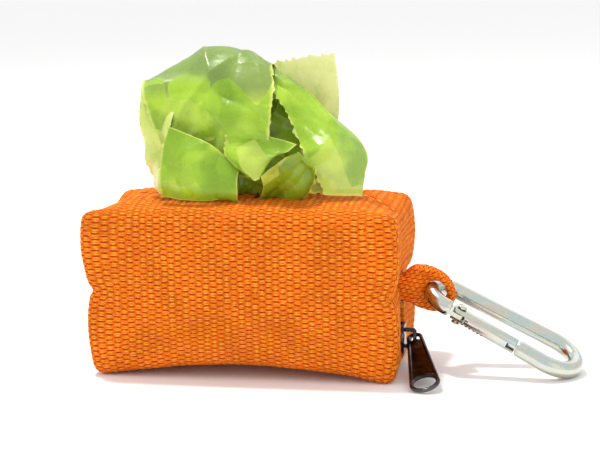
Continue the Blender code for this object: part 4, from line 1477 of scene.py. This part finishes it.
# Sheets on the paler lit copy of the film have painted light; sheets on the darker olive copy have
# painted shade.
SHEETS = (
    FilmSheet("film_hood", (
        ((-14, 1, 48), (-7, 1.5, 48), (0, 1.5, 48), (6, 1, 48)),
        ((-27, 4, 58), (-15, 7, 60), (-4, 7, 61), (8, 5, 60)),
        ((-31, 6, 73), (-17, 10, 75), (-4, 10, 77), (11, 6, 72)),
        ((-31.5, 3, 82), (-16, 5, 88.5), (-5, 5, 89.5), (6, 2, 85)),
        ((-30, -3, 79), (-17, -4, 84), (-5, -4, 84.5), (8, -4, 81)),
        ((-27, -5, 71), (-17, -7, 75), (-7, -8, 76), (8, -8, 75)),
        ((-24, -4, 64), (-17, -5, 67), (-8, -6, 67), (7, -6, 67)),
    ), (0.046, 0.060), torn=(False, True, True, True), crumple=0.8, seed=1.3),
    FilmSheet("film_right_back", (
        ((6, 4, 56), (14, 5, 57), (22, 4, 60)),
        ((5, 6, 70), (14, 7, 71), (24.3, 6, 71)),
        ((4, 6, 80), (14, 7, 81), (24, 6, 81)),
        ((3.5, 5, 87), (13, 6, 88.5), (23.2, 5, 89.8)),
    ), (0.022, 0.028), torn=(False, False, False, True), crumple=0.5, finish=LIT_FILM, seed=2.6),
    FilmSheet("film_right_front", (
        ((1, -1, 85), (4, 1, 87.5), (7, 3, 86.5)),
        ((8, -5, 80), (13, -2, 82), (17, 2, 80)),
        ((13, -7, 73), (19, -4, 75), (25, 1, 72)),
        ((17, -9, 64), (25, -6, 67), (33.5, -1, 64)),
        ((21, -10, 57), (28, -8, 58), (34, -5, 57)),
        ((23, -10, 51.6), (29, -9, 51.4), (33.5, -8, 51.4)),
    ), (0.016, 0.0385), held="draped", torn=(False, True, False, False), crumple=0.55, seed=3.1),
    FilmSheet("film_front_flap", (
        ((-21.5, -10, 70.5), (-15, -10, 67.5), (-8, -10, 64), (-3, -9, 58)),
        ((-22.3, -12, 64), (-15.5, -13, 62), (-9, -12.5, 59), (-3, -10, 55.5)),
        ((-22.8, -12.5, 57), (-15.5, -13.5, 56), (-9, -13, 54.5), (-2.5, -10, 53)),
        ((-23.2, -11.5, 51.8), (-15, -12.5, 51.2), (-8, -11.5, 51.4), (-1.5, -8, 51.9)),
    ), (0.021, 0.0165), held="draped", torn=(False, True, False, False), crumple=0.45, seed=4.4),
    FilmSheet("film_front_hood", (
        ((-13, -1, 50), (-8, -1, 50), (-3, -1, 50)),
        ((-21, -2, 64), (-14, -3, 66), (-6, -2, 64)),
        ((-21.4, -6, 72), (-13.7, -7, 76.5), (-6, -6, 73)),
        ((-20, -9, 66), (-12, -8.5, 70), (-5, -8, 66)),
        ((-19, -9.5, 60), (-11, -9, 62), (-4, -8, 58)),
    ), (0.016, 0.0385), torn=(False, False, False, True), crumple=0.9, seed=5.2),
    FilmSheet("film_centre", (
        ((-7, -2, 79), (4, -3, 80), (14, -3, 75)),
        ((-7, -6, 72), (5, -5, 70), (16, -4, 66)),
        ((-5, -9, 64), (5, -8, 60), (14, -6, 58)),
        ((-3, -8, 56), (4, -7, 54), (11, -5, 53)),
    ), (0.021, 0.025), torn=(True, False, False, False), crumple=0.9, finish=SHADED_FILM, seed=6.7),
    # A sheet of the darker olive copy of the film that fills the mouth's hollow, painted dark for
    # the shade there.
    FilmSheet("film_mouth", (
        ((-7, -1, 48.5), (0, -1.5, 48.5), (9, -1, 48.5)),
        ((-9, -3.5, 54), (0, -5.5, 54), (11, -4, 54)),
        ((-10, -5, 62), (0, -7, 63.5), (11, -6, 62)),
    ), (0.019, 0.0165), finish=SHADED_FILM, crumple=0.6, seed=8.8),
    FilmSheet("film_tip", (
        ((-5, -8, 71), (4, -8, 69), (15, -8, 66)),
        ((-5, -12, 64), (3, -13, 62.5), (12, -11, 64)),
        ((-2, -13, 60), (3, -14.5, 58.5), (8, -12, 61)),
        ((1.6, -13.6, 57), (3.4, -14.5, 56.4), (5.4, -13.6, 57)),
    ), (0.014, 0.014), torn=(False, True, False, True), crumple=0.4, seed=7.9),
    FilmSheet("film_ruffle", (
        ((2, -2, 50), (8, -2, 50), (14, -2, 50)),
        ((6, -8, 57), (13, -9, 58), (20, -8, 57)),
        ((5, -11, 61), (15, -12, 66), (22, -11, 62)),
        ((9, -13, 58), (17, -14, 60), (24, -13, 57)),
        ((13, -13, 54), (19, -14, 52.2), (26, -12, 51.8)),
    ), (0.016, 0.028), torn=(False, False, True, True), crumple=0.9, finish=SHADED_FILM, seed=8.3),
    FilmSheet("film_left_back", (
        ((-14, 1, 49), (-10, 1, 49), (-6, 1, 49)),
        ((-26, 3, 52.5), (-20, 4, 53), (-13, 4, 54)),
        ((-29, 4, 59), (-22, 5, 60), (-14, 5, 60)),
        ((-29.6, 3, 66.5), (-22, 4, 68), (-14, 5, 68)),
    ), (0.014, 0.0205), torn=(False, True, False, True), crumple=0.9, finish=LIT_FILM, seed=9.6),
    FilmSheet("film_left_side", (
        ((-31, -1, 80), (-25, -3, 77), (-20, -5, 74)),
        ((-30.5, -3, 72), (-25, -5, 69), (-21, -7, 67)),
        ((-29, -4, 63), (-25, -6, 60), (-22, -8, 58)),
        ((-26, -4, 54), (-24, -6, 53), (-21.5, -8, 52)),
    ), (0.010, 0.023), torn=(False, True, False, False), crumple=1.0, finish=LIT_FILM, seed=10.8),
)


@dataclass
class BagSupply:
    """The roll on its core, the gathered neck in the slot and the crumpled film above."""

    pleats: int = 9
    pleat_depth: float = 0.0019
    pleat_steps: Sequence[int] = (8, 16)
    narrowing: float = 0.12
    wound_ridges: int = 14
    ridge: float = 0.00018
    play: float = 0.0003
    roll_edge: float = 0.0006
    roll_steps: int = 72
    dent: float = 0.0002

    def build_roll(self) -> None:
        """The wound roll, its ends ridged by the turns of film."""
        low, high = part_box("bag_roll")
        core_low, core_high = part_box("roll_core")
        outer = (high.y - low.y) / 2
        inner = (core_high.y - core_low.y) / 2 + self.play
        half = (high.x - low.x) / 2
        face = []
        for i in range(self.wound_ridges + 1):
            r = inner + (outer - self.play - inner) * i / self.wound_ridges
            face.append((r, half - (self.ridge if i % 2 else 0.0)))
        side = half - self.roll_edge
        profile = face + [(outer, side), (outer, -side)] + [(r, -z) for r, z in reversed(face)]
        bm = bmesh.new()
        turned(bm, [(z, r, 0) for r, z in profile], (1, 0, 0), self.roll_steps, closed=True)
        outward(bm)
        for vert in bm.verts:
            out = Vector((0, vert.co.y, vert.co.z))
            if out.length > outer - self.dent:
                vert.co -= out.normalized() * (self.dent * creases(vert.co, 0.006, 3.3))
            vert.co += ROLL_AXLE
        make_piece("wound_film", bm, LIME_FILM, "roll", replaces=["bag_roll"])
        dress("roll_core", CARD)

    def build_neck(self) -> None:
        """The pleated neck from the roll up into the slot."""
        low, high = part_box("bag_neck")
        bm = bmesh.new()
        middle = (low + high) / 2
        for vert in unit_grid(bm, self.pleats * self.pleat_steps[0], self.pleat_steps[1]):
            s, t = vert.co.x, vert.co.y
            wave = math.sin(2 * math.pi * self.pleats * s + 1.2 * math.sin(3 * t))
            narrow = 1 - self.narrowing * t
            vert.co = Vector((middle.x + (s - 0.5) * (high.x - low.x) * narrow,
                              middle.y + self.pleat_depth / 2 * wave,
                              low.z + (high.z - low.z) * t))
        bmesh.ops.solidify(bm, geom=bm.faces[:], thickness=FILM_THICKNESS)
        outward(bm)
        # The neck takes the darker olive copy of the film, painted dark for the shade inside the
        # slot.
        obj = make_piece("film_neck", bm, SHADED_FILM, "bag", slot="lime_film",
                         replaces=["bag_neck"])
        obj.parent = None
        del obj["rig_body"]
        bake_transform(obj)

    def build(self) -> None:
        """Makes everything of film."""
        self.build_roll()
        self.build_neck()
        hood, *_ = [sheet.build() for sheet in SHEETS]
        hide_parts("bag_film")


# ------------------------------------------------------------------ stage


@dataclass
class Studio:
    """Pale floor, soft lights and the camera."""

    floor_size: float = 9.0
    world_strength: float = 0.97
    light_aim: Point = (0.0, 0.0, 0.03)
    azimuth_deg: float = 10.9
    elevation_deg: float = 10.1
    roll_deg: float = -1.1
    distance: float = 0.44
    lens: float = 91.7
    aim: Point = (-0.0114, 0.0, 0.0418)

    def floor(self) -> None:
        """A wide, flat, pale floor."""
        bm = bmesh.new()
        bmesh.ops.create_grid(bm, x_segments=2, y_segments=2, size=self.floor_size)
        obj = in_scene("floor", mesh_of("floor", bm))
        obj.data.materials.append(FLOOR.make())

    def light(self, name: str, place: Point, size: float, power: float,
              colour: Colour = WHITE) -> None:
        """A square area light aimed at the pouch."""
        data = bpy.data.lights.new(name, "AREA")
        data.size = size
        data.energy = power
        data.color = colour
        obj = in_scene(name, data)
        obj.location = place
        obj.rotation_mode = "QUATERNION"
        obj.rotation_quaternion = (Vector(self.light_aim) - Vector(place)).to_track_quat("-Z", "Y")

    def lights(self) -> None:
        """A bright surround, a warm key from above, left and slightly behind, a fill and a rim."""
        world = bpy.data.worlds.new("surround")
        world.use_nodes = True
        background = world.node_tree.nodes["Background"].inputs
        background["Color"].default_value = (*WHITE, 1.0)
        background["Strength"].default_value = self.world_strength
        bpy.context.scene.world = world
        self.light("key", (-0.22, 0.10, 0.85), 0.06, 5.0, (1.0, 0.97, 0.92))
        self.light("fill", (0.7, -0.5, 0.35), 0.6, 0.3)
        self.light("rim", (0.2, 0.7, 0.6), 0.5, 0.4)

    def camera(self) -> None:
        """The camera, aimed without shift."""
        data = bpy.data.cameras.new("camera")
        data.lens = self.lens
        data.clip_start = 0.01
        obj = in_scene("camera", data)
        a, e = math.radians(self.azimuth_deg), math.radians(self.elevation_deg)
        back = Vector((math.sin(a) * math.cos(e), -math.cos(a) * math.cos(e), math.sin(e)))
        turn = (-back).to_track_quat("-Z", "Y").to_matrix().to_4x4()
        obj.matrix_world = (Matrix.Translation(Vector(self.aim) + back * self.distance) @ turn
                            @ Matrix.Rotation(math.radians(self.roll_deg), 4, "Z"))
        bpy.context.scene.camera = obj

    def build(self) -> None:
        """Sets the stage."""
        bpy.context.scene.view_settings.view_transform = "Standard"
        self.floor()
        self.lights()
        self.camera()


def main() -> None:
    """Builds every group of pieces, then the stage."""
    logging.basicConfig(level=logging.INFO, format="%(name)s %(message)s")
    for build_group in (build_weave_group, build_scuff_group, build_fibre_group):
        build_group()
    shape = PouchShape()
    Studio().build()
    for side in Side:
        ClothPanel(shape, side).build()
    Stitching(shape).build()
    Zip(shape).build()
    StrapLoop(shape).build()
    SnapHook().build()
    BagSupply().build()


if __name__ == "__main__":
    main()
